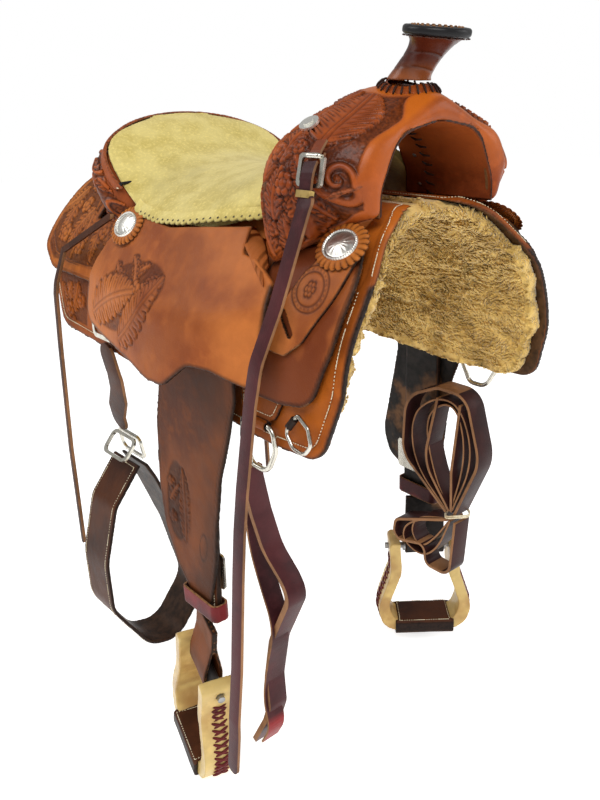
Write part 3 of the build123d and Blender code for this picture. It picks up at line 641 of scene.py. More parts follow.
def stitches(name, skin, distance, pitch=3.6, length=2.7, radius=0.55, material=None, loop=0,
             where=None, lift=0.3, slant=0.0):
    points, normals = skin.inner_line(distance, loop)
    if where is not None:
        keep = where(points)
        points, normals = points[keep], normals[keep]
    mesh = stitch_mesh(points, normals, pitch * MM, length * MM, radius * MM, lift, slant * MM)
    return link(name, mesh, skin.body, material or THREAD)


# ---------------------------------------------------------------- tooled patterns
class Tooling:
    """Height and darkness of a carved pattern over (u, v) in mm; later shapes lie on top."""

    def __init__(self, u, v):
        self.u, self.v = u, v
        self.height, self.cut = np.zeros(len(u)), np.zeros(len(u))

    def background(self, inside, depth=0.8):
        """Matted ground: pressed down and stippled where inside, in millimetres, is positive."""
        share = step(inside, 0, 3)
        spots = noise(np.stack([self.u, self.v, 0 * self.u], 1), 1.9, 5)
        self.height += share * (-depth + 0.35 * spots)
        self.cut = np.maximum(self.cut, share * (0.5 + 0.4 * (1 - spots)))

    def lay(self, edge, height, dark):
        """Shape with a bevelled outline; edge is the distance inside it."""
        inside = edge > 0
        bevel = step(edge, 0, 2.2)
        around = np.exp(-(edge / 2.6) ** 2)
        self.height = np.where(inside, height * bevel - 0.6 * (1 - bevel),
                               self.height - 0.55 * around * (edge > -8))
        outline = np.exp(-(edge / 1.1) ** 2)
        self.cut = np.where(inside, np.clip(dark + 0.9 * outline, 0, 1),
                            np.maximum(self.cut, 0.9 * np.exp(-(edge / 1.7) ** 2)))

    def limit(self, inside, low, high):
        """Fades the pattern out where inside, in millimetres, falls below low."""
        self.height *= step(inside, low, high)
        self.cut *= step(inside, low, high)

    def leaf(self, at, angle, length, width, bend=0.0, lobes=7, lean=0.8):
        """Lobed leaf growing from at, turning by bend degrees on its way."""
        a = math.radians(angle)
        du, dv = self.u - at[0], self.v - at[1]
        x, y = du * math.cos(a) + dv * math.sin(a), dv * math.cos(a) - du * math.sin(a)
        if bend:
            sign = 1 if bend > 0 else -1
            radius = length / math.radians(abs(bend))
            y = y * sign
            s = np.arctan2(x, radius - y) * radius
            t = (radius - np.hypot(x, radius - y)) * sign
        else:
            s, t = x, y
        q = s / length
        off = np.abs(t) / width
        body = np.sin(math.pi * np.clip(q, 0, 1) ** 0.75) ** 0.55
        phase = (q - 0.3 * lean * off * width / (length * 0.42)) * lobes + 0.02
        c = phase - np.floor(phase) - 0.5
        lobe = 1 - (2 * np.abs(c)) ** 3.2
        frill = 0.06 * np.abs(np.cos(math.pi * c * 3))
        reach = width * body * (0.5 + 0.46 * lobe + frill)
        edge = np.minimum(reach - np.abs(t), np.minimum(s + 1, length - s) * 1.5)
        edge = np.where((q > -0.05) & (q < 1.05), edge, -99)
        rib = np.exp(-(t / 1.5) ** 2)
        beside = np.exp(-((np.abs(t) - 3.2) / 1.2) ** 2)
        pitch = max(length / lobes, 1)
        vein = np.exp(-(c * pitch / 1.3) ** 2) * step(off, 0.06, 0.3) * step(1 - off, 0.1, 0.35)
        split = np.exp(-((0.5 - np.abs(c)) * pitch / 1.2) ** 2) * step(off, 0.25, 0.5)
        height = 0.3 + 0.8 * off + 0.6 * rib - 0.4 * beside - 0.6 * vein - 0.9 * split
        self.lay(edge, height, 0.6 * vein + 0.5 * beside * (1 - rib) + 0.85 * split)

    def scroll(self, at, radius, turns=1.6, start=0.0, width=4.5, way=1, beads=True):
        """Spiral vine curling in to a beaded eye."""
        du, dv = self.u - at[0], (self.v - at[1]) * way
        rho = np.hypot(du, dv)
        phi = np.mod(np.arctan2(dv, du) - math.radians(start), 2 * math.pi)
        gap = radius / turns
        arm = np.round(rho / gap - phi / (2 * math.pi))
        arm = np.clip(arm, 0, math.floor(turns) - (phi / (2 * math.pi) > turns % 1))
        off = np.abs(rho - (arm + phi / (2 * math.pi)) * gap)
        half = width * (0.45 + 0.55 * np.clip(rho / radius, 0, 1))
        edge = np.where(rho < radius + width, half - off, -99)
        self.lay(edge, 0.5 + 0.7 * np.cos(np.clip(off / half, 0, 1) * math.pi / 2),
                 0.5 * np.exp(-((off - half * 0.62) / 0.8) ** 2))
        if beads:
            self.flower(at, radius * 0.2, 5)

    def flower(self, at, radius, petals=5, turn=0.0):
        du, dv = self.u - at[0], self.v - at[1]
        rho, phi = np.hypot(du, dv), np.arctan2(dv, du) + turn
        lobe = np.abs(np.cos(petals * phi / 2)) ** 0.5
        edge = radius * (0.7 + 0.3 * lobe) - rho
        eye = step(radius * 0.34 - rho, -1, 1)
        vein = np.exp(-(np.sin(petals * phi / 2 + math.pi / 2) / 0.22) ** 2) * (1 - eye)
        crease = np.exp(-((rho - radius * 0.38) / 1.2) ** 2)
        height = 0.3 + 0.9 * np.clip(rho / radius, 0, 1) * (1 - eye) + 1.1 * eye - 0.6 * vein
        self.lay(edge, height - 0.6 * crease, 0.6 * vein + 0.6 * crease)

    def stem(self, points, width=2.4):
        """Vine through points."""
        best = np.full(len(self.u), 99.0)
        for (ax, ay), (bx, by) in zip(points[:-1], points[1:]):
            t = ((self.u - ax) * (bx - ax) + (self.v - ay) * (by - ay))
            t = np.clip(t / ((bx - ax) ** 2 + (by - ay) ** 2), 0, 1)
            best = np.minimum(best, np.hypot(self.u - ax - t * (bx - ax),
                                             self.v - ay - t * (by - ay)))
        self.lay(width - best, 0.4 + 0.5 * np.cos(np.clip(best / width, 0, 1) * 1.5), 0 * best)


def ellipse_inside(u, v, at, a, b, turn=0.0):
    c, s = math.cos(math.radians(turn)), math.sin(math.radians(turn))
    x, y = (u - at[0]) * c + (v - at[1]) * s, (v - at[1]) * c - (u - at[0]) * s
    return (1 - np.hypot(x / a, y / b)) * min(a, b)


# ---------------------------------------------------------------- seat, cantle, jockeys
def make_seat():
    """Rough-out seat, sunk between the scallops of its lower edge."""
    skin = Skin("seat_pad", 1.9, lambda p: Vector((0, 0, 1)))
    y, z = skin.uv()
    low = (y < 158) & (z < 84)
    wave = np.abs(np.sin(math.pi * skin.along / 0.0125))
    close = np.clip(1 - skin.edge / 0.009, 0, 1) * low
    x = skin.co[:, 0]
    inward = np.stack([-np.sign(x), 0 * x, 0.9 + 0 * x], 1) / 1.35
    skin.co += inward * (0.0042 * (1 - wave) * close)[:, None]
    skin.round_edge(3, 1.2)
    skin.uneven(0.7, 0.05, 8)
    # The spot at the right rear of the seat by the cantle is painted shade where the seat dips; the
    # patches at the sides of the waist and the random patches are dirt.
    dirt_and_shade = np.exp(-(((y - 150) / 46) ** 2 + ((x / MM + 92) / 42) ** 2))
    dirt_and_shade += 0.6 * np.exp(-(((y + 30) / 80) ** 2 + ((np.abs(x) / MM - 100) / 50) ** 2))
    dirt_and_shade += 0.7 * step(cloud(skin.co, 0.07, 12), 0.52, 0.75)
    skin.stain_and_shade = np.clip(dirt_and_shade * cloud(skin.co, 0.02, 4), 0, 1) * 0.55
    seat = skin.finish(SUEDE, rim_width=1.0)
    make_seat_scallops()
    seat_front_corners()


def cantle_uv(co):
    """Round the cantle, and back from its rim, in millimetres."""
    x, y, z = co.T / MM
    return np.arctan2(z - 40, np.abs(x)) * 155, (y - 165 - 0.96 * (z - 57)) * 0.72


def make_cantle():
    """Carved cantle back, its bound rim and their seams."""
    skin = Skin("cantle_back", 1.8, lambda p: Vector((p.x, 0.12, p.z - 0.03)))
    u, v = cantle_uv(skin.co)
    pattern = Tooling(u, v)
    pattern.background(np.minimum(v - 8, 70 - v))
    for i in range(5):
        at = 14 + 56 * i
        pattern.leaf((at + 22, 18), 20, 42, 13, 40, 5)
        pattern.leaf((at + 26, 50), -24, 42, 12, -40, 5)
        pattern.leaf((at - 4, 48), 120, 30, 9, 30, 4)
        pattern.scroll((at, 28), 19, 1.5, 200 if i % 2 else 20, 4.4, 1 if i % 2 else -1)
    skin.tool(pattern, 1.5)
    skin.stain_and_shade = step(cloud(skin.co, 0.05, 3), 0.45, 0.7) * 0.25
    skin.finish(CARVED)
    strip = Skin("cantle_binding", 1.5, lambda p: Vector((p.x, 0.1, p.z - 0.03)))
    strip.uneven(0.3, 0.01)
    band = np.abs(np.sin(math.pi * strip.co[:, 1] / 0.0045))
    strip.cut = 0.35 * band
    strip.finish(CARVED)
    rim_stitches()


def rim_stitches():
    """Laced stitching round the cantle's binding, and the black welt beside the seat."""
    back = RIM_BACK
    co = np.array([v.co[:] for v in NODES["cantle_binding"].data.vertices])
    depth = (co - RIM_POINT) @ back
    front = co[depth < depth.min() + 0.0006]
    angle = np.arctan2(front[:, 2] - 0.05, front[:, 0])
    reach = np.hypot(front[:, 0], front[:, 2] - 0.05)
    line = []
    for low in np.arange(-0.1, math.pi + 0.1, 0.06):
        near = (angle >= low) & (angle < low + 0.06)
        if near.any():
            line.append(front[near][reach[near].argmax()])
    line = rounded(line, 0.004, 2, 1)
    out = line - np.array([0, 0.23, 0.06])
    out = out - np.outer(out @ back, back)
    out /= np.linalg.norm(out, axis=1)[:, None]
    welt = tube("seat_welt", line - out * 0.0016 - back * 0.0012, 0.0021, "tree", BLACK)
    seam = line + out * 0.0006 + back * 0.0050
    mesh = stitch_mesh(seam, out, 0.0052, 0.0036, 0.0008, 0.6, 0.0014)
    link("rim_lacing", mesh, "tree", THREAD)
    mesh = stitch_mesh(seam + back * 0.0045, out, 0.0052, 0.0034, 0.0007, 0.4)
    link("rim_lacing_low", mesh, "tree", DARK_LACE)


def tube(name, points, radius, body, material, sides=8):
    """Tube along points, with rounded ends."""
    points = np.asarray(points, float)
    count = len(points)
    along = np.gradient(points, axis=0)
    along /= np.maximum(np.linalg.norm(along, axis=1), 1e-9)[:, None]
    verts, n = [], np.array([0, 0, 1.0])
    for i in range(count):
        side = np.cross(along[i], n)
        if np.linalg.norm(side) < 1e-6:
            side = np.cross(along[i], [1, 0, 0])
        side /= np.linalg.norm(side)
        n = np.cross(side, along[i])
        size = radius * (0.6 if i in (0, count - 1) else 1)
        for a in np.linspace(0, 2 * math.pi, sides + 1)[:-1]:
            verts.append(points[i] + side * math.cos(a) * size + n * math.sin(a) * size)
    faces = rows_joined(count, sides) + caps(count, sides)
    return link(name, new_mesh(name, verts, faces), body, material)


def medallion(pattern):
    """Two facing oak leaves with flowers and leaves between them."""
    u, v = pattern.u, pattern.v
    pattern.background(ellipse_inside(u, v, (106, -38), 104, 42, -16), 0.6)
    pattern.leaf((58, 6), -14, 60, 8, -50, 5)
    pattern.leaf((112, 10), -160, 56, 8, 50, 5)
    pattern.leaf((150, -2), -150, 66, 9, 30, 6)
    pattern.leaf((30, -2), -40, 56, 9, 30, 5)
    pattern.leaf((120, -8), -80, 50, 13, 50, 5)
    pattern.leaf((60, -14), -150, 46, 12, 40, 5)
    pattern.leaf((88, -58), 100, 44, 12, -50, 5)
    pattern.leaf((150, -66), 70, 40, 11, 50, 4)
    pattern.flower((72, -24), 13, 5)
    pattern.flower((106, -44), 15, 6, 0.4)
    pattern.flower((132, -58), 10, 5, 0.2)
    pattern.leaf((212, -76), 150, 150, 31, 20, 9)
    pattern.leaf((106, -90), 146, 128, 26, -22, 8)


def make_seat_jockeys():
    """Large plain side leathers with a carved medallion."""
    for side, sign in SIDES:
        skin = Skin(f"seat_jockey_{side}", 1.9, side_outward(sign))
        u, v = skin.uv()
        pattern = Tooling(u, v)
        medallion(pattern)
        skin.tool(pattern, 1.3)
        skin.round_edge()
        skin.uneven(0.9, 0.09, 21)
        rub_and_shadow = np.exp(-(((u - 10) / 70) ** 2 + ((v + 70) / 34) ** 2))
        rub_and_shadow += 0.8 * np.exp(-(((u + 60) / 46) ** 2 + ((v + 40) / 60) ** 2))
        rub_and_shadow += 0.8 * np.exp(-(((u - 60) / 110) ** 2 + ((v - 40) / 14) ** 2))
        rub_and_shadow += 0.8 * step(cloud(skin.co, 0.09, 31), 0.5, 0.75)
        skin.stain_and_shade = np.clip(rub_and_shadow * (0.4 + cloud(skin.co, 0.02, 7)), 0, 1) * 0.62
        skin.finish(TAN, rim_width=5.0)


def make_rear_jockeys():
    """Carved leathers behind the seat."""
    for side, sign in SIDES:
        skin = Skin(f"rear_jockey_{side}", 1.9, side_outward(sign))
        u, v = skin.uv()
        pattern = Tooling(u, v)
        inside = np.minimum(np.minimum(v + 33, skin.edge / MM - 9), 400)
        pattern.background(inside)
        pattern.stem([(250, -30), (300, -32), (352, -30), (398, -22), (426, 4), (428, 40)], 1.6)
        pattern.stem([(262, 60), (282, 30), (296, -28)], 2.2)
        pattern.stem([(345, 62), (338, 30), (352, -26)], 2.2)
        for at, angle, length, width, bend in (
                ((286, 34), -60, 62, 15, -50), ((290, 30), 200, 46, 14, 60),
                ((342, 40), -120, 60, 15, 40), ((344, 44), -50, 66, 15, -40),
                ((410, 64), -120, 70, 15, 50), ((398, 70), -60, 60, 13, 40),
                ((330, 72), 10, 60, 13, -30), ((262, 72), 0, 60, 13, 30)):
            pattern.leaf(at, angle, length, width, bend, 6)
        for at, radius in (((282, 18), 13), ((334, -8), 13), ((388, 6), 14), ((372, 46), 12),
                           ((252, 0), 12), ((312, 52), 11)):
            pattern.flower(at, radius, 5, at[0])
        pattern.limit(inside, -1, 1)
        skin.tool(pattern, 1.3)
        skin.round_edge()
        skin.groove(5, 0.9, 0.4, 0.6)
        skin.finish(HOUSING, rim_width=4.0)


def make_front_jockeys():
    """Plain leathers in front of the seat jockeys, darkened all over and most towards the bottom as
    painted shadow.
    """
    for side, sign in SIDES:
        skin = Skin(f"front_jockey_{side}", 2.0, side_outward(sign))
        v = skin.uv()[1]
        skin.round_edge()
        skin.uneven(0.8, 0.06, 5)
        skin.groove(4, 0.8, 0.35, 0.5)
        # painted shadow: a fixed darkening all over and more towards the bottom; the cloud adds
        # random mottling
        rub_and_shadow = step(cloud(skin.co, 0.05, 9), 0.3, 0.6) + 0.5 + 0.7 * step(-v, 20, 100)
        skin.stain_and_shade = np.clip(rub_and_shadow, 0, 1) * 0.85
        skin.finish(TAN, rim_width=5.0)


def make_keepers():
    """Latigo keepers with a plain stamped ring."""
    for side, sign in SIDES:
        skin = Skin(f"latigo_keeper_{side}", 1.5, side_outward(sign))
        u, v = skin.uv()
        pattern = Tooling(u, v)
        ring = ellipse_inside(u, v, (-194, 10), 27, 21, 15)
        for at in (0.0, 5.5):
            line = np.exp(-((ring - at) / 1.1) ** 2)
            pattern.height -= 0.8 * line
            pattern.cut = np.maximum(pattern.cut, 0.85 * line)
        angle = np.arctan2(v - 10, (u + 194) * 0.8)
        dots = np.exp(-((ring - 3) / 1.3) ** 2) * (np.abs(np.sin(angle * 12)) > 0.6)
        pattern.height -= 0.4 * dots
        pattern.cut = np.maximum(pattern.cut, 0.5 * dots)
        pattern.flower((-194, 10), 8, 6)
        skin.tool(pattern, 0.7)
        skin.round_edge()
        skin.stain_and_shade = step(cloud(skin.co, 0.04, 14), 0.45, 0.75) * 0.4
        skin.finish(TAN)


# ---------------------------------------------------------------- skirts and fleece
def make_skirts():
    """Stitched skirts, carved behind."""
    for side, sign in SIDES:
        skin = Skin(f"skirt_{side}", 2.3, side_outward(sign))
        u, v = skin.uv()
        pattern = Tooling(u, v)
        inside = np.minimum(u - 296, skin.edge / MM - 15)
        pattern.background(np.minimum(inside, v + 170), 0.7)
        for at, angle, length, width, bend in (
                ((330, -60), -80, 60, 17, 30), ((352, -62), -60, 56, 15, -30),
                ((384, -66), -100, 60, 16, -30), ((332, -120), -20, 54, 14, 40),
                ((320, -150), 10, 60, 13, 30), ((404, -30), -70, 60, 14, 20)):
            pattern.leaf(at, angle, length, width, bend, 6)
        for at, radius in (((356, -104), 14), ((396, -92), 12), ((318, -86), 12)):
            pattern.flower(at, radius, 5, at[0])
        pattern.limit(inside, -1, 1)
        skin.tool(pattern, 1.3)
        skin.round_edge(3.5, 1.6)
        skin.groove(12, 1.0, 0.5, 0.35)
        skin.uneven(0.7, 0.08, 41)
        skin.stain_and_shade = step(cloud(skin.co, 0.07, 10), 0.42, 0.7) * 0.55
        skin.finish(SKIRTING, rim_width=3.4)
        stitches(f"skirt_stitches_{side}", skin, 12, 3.9, 2.9, 0.6)


def make_fleece():
    """Wool lining with clumped pile, and painted shade in the hollows between the clumps."""
    for side, sign in SIDES:
        skin = Skin(f"fleece_{side}", 3.0, side_outward(sign))
        stretched = skin.co * np.array([1, 0.55, 1.3])
        clump = cloud(stretched, 0.013, 2, 3)
        inner = (skin.label != OUTER).astype(float)
        skin.move((clump - 0.55) * 0.010 * inner + 0.0085 * (skin.label == RIM))
        skin.pile = clump
        skin.brim = (skin.label == RIM).astype(float)
        skin.label[:] = OUTER
        skin.edge[:] = 1.0
        # painted shade: darker where the pile is low, in the hollows between the clumps
        skin.stain_and_shade = np.clip((0.46 - clump) * 3.0, 0, 1) * 0.6
        piece = skin.finish(WOOL)
        tufts(skin, side, sign)


def tufts(skin, side, sign, count=16000):
    """Locks of wool lying over each other on the horse's side and the cut edge."""
    rng = np.random.default_rng(11)
    toward = skin.normal @ np.array([-sign, 0, -0.45])
    chosen = np.nonzero(toward > -0.35)[0]
    chosen = rng.choice(chosen, min(count, len(chosen)), replace=False)
    flow = cloud(skin.co[chosen], 0.03, 23, 2) * 7 - 4.4
    wave = cloud(skin.co[chosen] * np.array([1, 0.5, 1.4]), 0.012, 29, 2)
    verts, faces, tone = [], [], []
    for i, turn, lift in zip(chosen, flow, wave):
        p, n = skin.co[i], skin.normal[i]
        level = np.cross(n, [0, 0, 1.0])
        level /= max(np.linalg.norm(level), 1e-6)
        down = np.cross(n, level)
        lie = level * math.cos(turn) + down * math.sin(turn)
        lean = lie * 0.8 + n * (0.25 + 0.6 * lift) * (1 - 0.9 * skin.brim[i])
        lean = lean + 0.25 * (1 - 0.7 * skin.brim[i]) * rng.normal(size=3)
        lean /= np.linalg.norm(lean)
        length = rng.uniform(0.005, 0.009) * (1 - 0.45 * skin.brim[i])
        across = np.cross(lean, n)
        across /= max(np.linalg.norm(across), 1e-6)
        third = np.cross(lean, across)
        base, width = len(verts), rng.uniform(0.0014, 0.0024)
        # painted shade on tufts rooted where the pile is low, plus a little random tone
        shade = 0.75 * (1 - skin.pile[i]) + 0.25 * rng.uniform(0, 1)
        for share, size in ((-0.2, 0.9), (0.35, 1.0), (0.8, 0.6)):
            c = p + lean * length * share - n * 0.0022 * share * share
            for a in (0, 2.1, 4.2):
                verts.append(c + (across * math.cos(a) + third * math.sin(a) * 0.6) * width * size)
                tone.append(shade)
        verts.append(p + lean * length - n * 0.0018)
        tone.append(shade)
        for k in range(2):
            for m in range(3):
                faces.append((base + 3 * k + m, base + 3 * k + (m + 1) % 3,
                              base + 3 * k + 3 + (m + 1) % 3, base + 3 * k + 3 + m))
        for m in range(3):
            faces.append((base + 6 + m, base + 6 + (m + 1) % 3, base + 9))
        faces.append((base + 2, base + 1, base))
    mesh = new_mesh("tufts", verts, faces)
    put(mesh, "stain_and_shade", np.clip(np.array(tone) - 0.35, 0, 1) * 0.6)
    piece = link(f"fleece_tufts_{side}", mesh, skin.body, WOOL)


# ---------------------------------------------------------------- fork and horn
def fork_uv(co):
    """Back over the swell from its front lip, and up round the fork, in millimetres."""
    x, y, z = co.T / MM
    u = np.interp(y, [-228, -206, -160, -122, -96], [0, 37, 89, 127, 164])
    return u, np.arctan2(z - 60, np.abs(x)) * 150


def make_fork():
    """Carved fork with a smooth front lip, and the gullet's lining."""
    skin = Skin("fork_cover", 1.5, lambda p: Vector((p.x, -0.02, p.z - 0.02)))
    face = step(-skin.co[:, 1], 0.2205, 0.2265)
    skin.label = np.where(face > 0.5, OUTER, skin.label)
    skin.smooth(70)
    u, v = fork_uv(skin.co)
    skin.move((0.8 + 3.4 * np.exp(-((u - 6) / 16) ** 2)) * MM)
    pattern = Tooling(u, v)
    neck = np.hypot(skin.co[:, 0] / MM, (skin.co[:, 1] / MM + 170) * 0.9) - 40
    band = np.minimum(u - 13 - 22 * step(v, 165, 205), v + 26)
    region = np.minimum(np.minimum(band, neck), skin.edge / MM - 3)
    pattern.background(np.minimum(region, 26 + (v - 22) * 2 + (u - 60) * 1.2))
    for at, angle, length, width, bend, lobes in (
            ((120, -30), 84, 46, 15, -20, 5), ((98, -22), 96, 48, 14, 20, 5),
            ((136, 2), 80, 60, 16, -24, 6), ((84, 8), 120, 50, 12, -40, 5),
            ((104, 14), 86, 52, 17, 30, 6), ((124, 48), 92, 62, 19, -20, 7),
            ((74, 40), -100, 46, 12, 30, 5), ((52, 20), 40, 40, 11, 60, 5),
            ((100, 66), 84, 54, 17, 24, 6), ((64, 44), 80, 42, 13, -50, 5),
            ((122, 104), 84, 66, 18, -16, 7), ((142, 80), 88, 70, 14, -10, 7),
            ((98, 112), 60, 60, 17, 34, 6), ((46, 96), 30, 34, 11, -50, 4),
            ((106, 160), 84, 60, 18, -10, 6), ((62, 94), 88, 100, 38, -14, 10)):
        pattern.leaf(at, angle, length, width, bend, lobes)
    for at, radius, petals in (((88, 48), 12, 6), ((112, 78), 11, 5), ((112, 6), 10, 5),
                               ((84, 84), 9, 5)):
        pattern.flower(at, radius, petals)
    pattern.scroll((31, 62), 23, 1.7, 100, 6.0, 1)
    pattern.limit(region, -2, 2)
    skin.tool(pattern, 1.9)
    plain = np.clip(1 - step(region, -6, 4), 0, 1)
    # lighter orange on the plain leather of the upper fork, less on its front face
    skin.stain_and_shade = plain * step(v, 50, 120) * 0.85 * (1 - 0.75 * face)
    skin.edge = np.where(face > 0.3, 1.0, skin.edge)
    skin.finish(CARVED)
    lining = Skin("gullet_lining", 2.0, lambda p: Vector((-p.x, 0, 0.06 - p.z)))
    lining.uneven(0.5, 0.03)
    lining.stain_and_shade = step(lining.co[:, 2], 0.08, 0.16) * 0.7
    lining.finish(SMOOTH_AND_FORK_SHADE)
    arch_lacing()


def arch_lacing():
    """Whip lacing and nails round the rear of the gullet."""
    arch = [(84, 40), (86, 78), (80, 112), (64, 142), (36, 160), (0, 164), (-36, 160), (-64, 142),
            (-80, 112), (-86, 78), (-84, 40)]
    line = rounded([(x, 0, z) for x, z in arch], 0.0125)
    for i, (x, _, z) in enumerate(line):
        inward = np.array([-x, 0, 0.06 - z])
        inward /= np.linalg.norm(inward)
        start = np.array([x, -0.150, z]) + inward * 0.0035
        end = start + np.array([0, 0.013, 0]) + np.cross([0, 1, 0], inward) * 0.005
        middle = (start + end) / 2 + inward * 0.0016
        tube(f"arch_lace_{i}", [start, middle, end], 0.0016, "tree", DARK_LACE, 6)
        if i % 3 == 1:
            head = Vector(start + np.array([0, 0.024, 0]))
            mesh = radial_mesh("nail", head, Vector(inward), 6, 16,
                               lambda r, a: (3 * r * math.cos(a), 3 * r * math.sin(a),
                                             1.6 * math.cos(r * 1.5)))
            link(f"arch_nail_{i}", mesh, "tree", STEEL)


def rounded(points, spacing, cuts=3, scale=MM):
    """Smooth line near points given in millimetres, evenly spaced."""
    line = np.asarray(points, float) * scale
    for _ in range(cuts):
        middle = np.empty((2 * len(line) - 2, 3))
        middle[0::2] = line[:-1] * 0.75 + line[1:] * 0.25
        middle[1::2] = line[:-1] * 0.25 + line[1:] * 0.75
        line = np.vstack([line[:1], middle, line[-1:]])
    return resample(line, spacing, closed=False)


def make_horn():
    """Wrapped horn neck, dally ring, cap and their stitches."""
    away = lambda p: Vector((p.x, p.y + 0.205, 0))
    wrap = Skin("horn_wrap", 1.5, away)
    wrap.uneven(0.5, 0.02, 6)
    height = wrap.co[:, 2] / MM
    seam = np.abs(np.mod(height + wrap.co[:, 0] / MM * 0.25, 13.0) - 6.5)
    wrap.move(-0.0005 * np.exp(-(seam / 0.8) ** 2))
    wrap.cut = 0.5 * np.exp(-(seam / 1.0) ** 2)
    wrap.stain_and_shade = step(-height, -228, -205) * 0.8
    wrap.label[:] = OUTER
    wrap.finish(OXBLOOD)
    for node, material, slot in (("horn_dally_ring", BLACK, "leather_black"),
                                 ("horn_cap", OXBLOOD, "leather_dark")):
        part = Skin(node, 1.4, away)
        part.uneven(0.4, 0.012, 9)
        part.label[:] = OUTER
        part.edge[:] = 1
        part.finish(material)
    lean = math.radians(8)
    up = np.array([0, -math.sin(lean), math.cos(lean)])
    fore = np.array([0, -math.cos(lean), -math.sin(lean)])
    centre = HORN_CAP_CENTRE
    for name, radius, rise in (("horn_stitches_under", 0.0330, -0.0006),
                               ("horn_stitches_top", 0.0262, 0.0090)):
        turn = np.linspace(0, 2 * math.pi, 160)
        ring = centre + up * rise + np.outer(np.cos(turn), fore) * radius
        ring[:, 0] += np.sin(turn) * radius
        out = ring - centre
        out = out - np.outer(out @ up, up)
        out /= np.linalg.norm(out, axis=1)[:, None]
        if rise > 0.005:
            out = np.tile(up, (len(ring), 1))
        link(name, stitch_mesh(ring, out, 0.0062, 0.0042, 0.0007, 0.5), "tree",
             DARK_LACE if rise < 0.005 else RAW_EDGE)
    collar(25.0, 24)


def collar(radius, count):
    """Scalloped collar round the foot of the horn, with a lace round each scallop."""
    tree = BVHTree.FromBMesh(welded("fork_cover"))
    centre = HORN_FOOT

    def above_fork(i, of, reach, rise):
        """Point out from the horn's foot at step i of a turn, rise above the fork."""
        a = 2 * math.pi * i / of
        p = centre + np.array([math.sin(a), -math.cos(a), 0]) * reach * MM
        hit = tree.ray_cast(Vector(p), Vector((0, 0, -1)))
        return p[0], p[1], (hit[0].z if hit[0] else 0.2) + rise * MM

    verts, faces = [], []
    steps = count * 10
    for i in range(steps):
        a = 2 * math.pi * i / steps
        scallop = abs(math.sin(a * count / 2)) ** 0.6
        for share, rise in ((0.0, 4.2), (0.35, 3.6), (0.8, 2.8), (1.0, 0.4)):
            reach = (radius - 2.5) + (6.0 + 4.6 * scallop) * share
            verts.append(above_fork(i, steps, reach, rise))
    for i in range(steps):
        j = (i + 1) % steps
        for k in range(3):
            faces.append((4 * i + k, 4 * i + k + 1, 4 * j + k + 1, 4 * j + k))
    link("horn_collar", new_mesh("collar", verts, faces), "tree", CARVED)
    for i in range(count):
        line = [above_fork(i, count, radius + reach, rise)
                for reach, rise in ((0.5, 5.5), (3.5, 6.4), (7, 4.6), (9.5, 1.4))]
        tube(f"horn_lace_{i}", resample(np.array(line), 0.002, False), 0.0012, "tree", DARK_LACE)


# ---------------------------------------------------------------- conchos
def concho_faces():
    """Name, centre and outward normal of the four concho seats."""
    for side, sign in SIDES:
        yield f"front_{side}", Vector((sign * 0.125, -0.209, 0.050)), Vector((sign * .738, 0, .675))
        yield f"rear_{side}", Vector((sign * 0.1665, 0.163, 0.0395)), Vector((sign * .804, 0, .594))


def radial_mesh(name, origin, normal, rings, steps, profile):
    """Closed dome over an oval: profile(share, angle) gives (x, y, height) in millimetres."""
    long_axis = Vector((0, 1, 0))
    short_axis = normal.cross(long_axis).normalized()
    verts = []
    for r in range(rings + 1):
        for k in range(steps):
            x, y, h = profile(r / rings, 2 * math.pi * k / steps)
            verts.append(origin + (long_axis * x + short_axis * y + normal * h) * MM)
    return new_mesh(name, verts, rows_joined(rings + 1, steps) + caps(rings + 1, steps)[:1])


def rosette_profile(share, a):
    """Pleated leather oval."""
    wave = abs(math.sin(a * FLUTES / 2)) ** 0.7
    reach = 0.5 + share * 0.5
    if share > 0.85:
        reach = 0.5 + share * 0.5 - (1 - wave) * 0.10
    height = 0.4 + 3.6 * (1 - share ** 5) + (wave - 0.6) * 1.4 * step_one(share, 0.2, 0.8)
    return ROSETTE[0] * reach * math.cos(a), ROSETTE[1] * reach * math.sin(a), height


def step_one(x, a, b):
    """step for a single number."""
    t = min(1, max(0, (x - a) / (b - a)))
    return t * t * (3 - 2 * t)


def concho_profile(share, a):
    """Domed silver oval with a twisted edge."""
    rope = abs(math.sin(a * ROPE_TURNS + share * 9))
    rim = math.exp(-((share - 0.9) / 0.075) ** 2)
    dome = 3.4 * (1 - (share / 0.82) ** 2) if share < 0.82 else 0
    flutes = 0.16 * math.sin(a * 14) * math.exp(-((share - 0.5) / 0.2) ** 2)
    height = 4.6 + dome + rim * (1.7 + 0.9 * rope) + flutes - 3.8 * step_one(share, 0.95, 1)
    return CONCHO[0] * share * math.cos(a), CONCHO[1] * share * math.sin(a), height


def polar(rings, steps):
    """Share of the radius and angle of each point of a radial_mesh."""
    index = np.arange((rings + 1) * steps)
    return index // steps / rings, index % steps * 2 * math.pi / steps


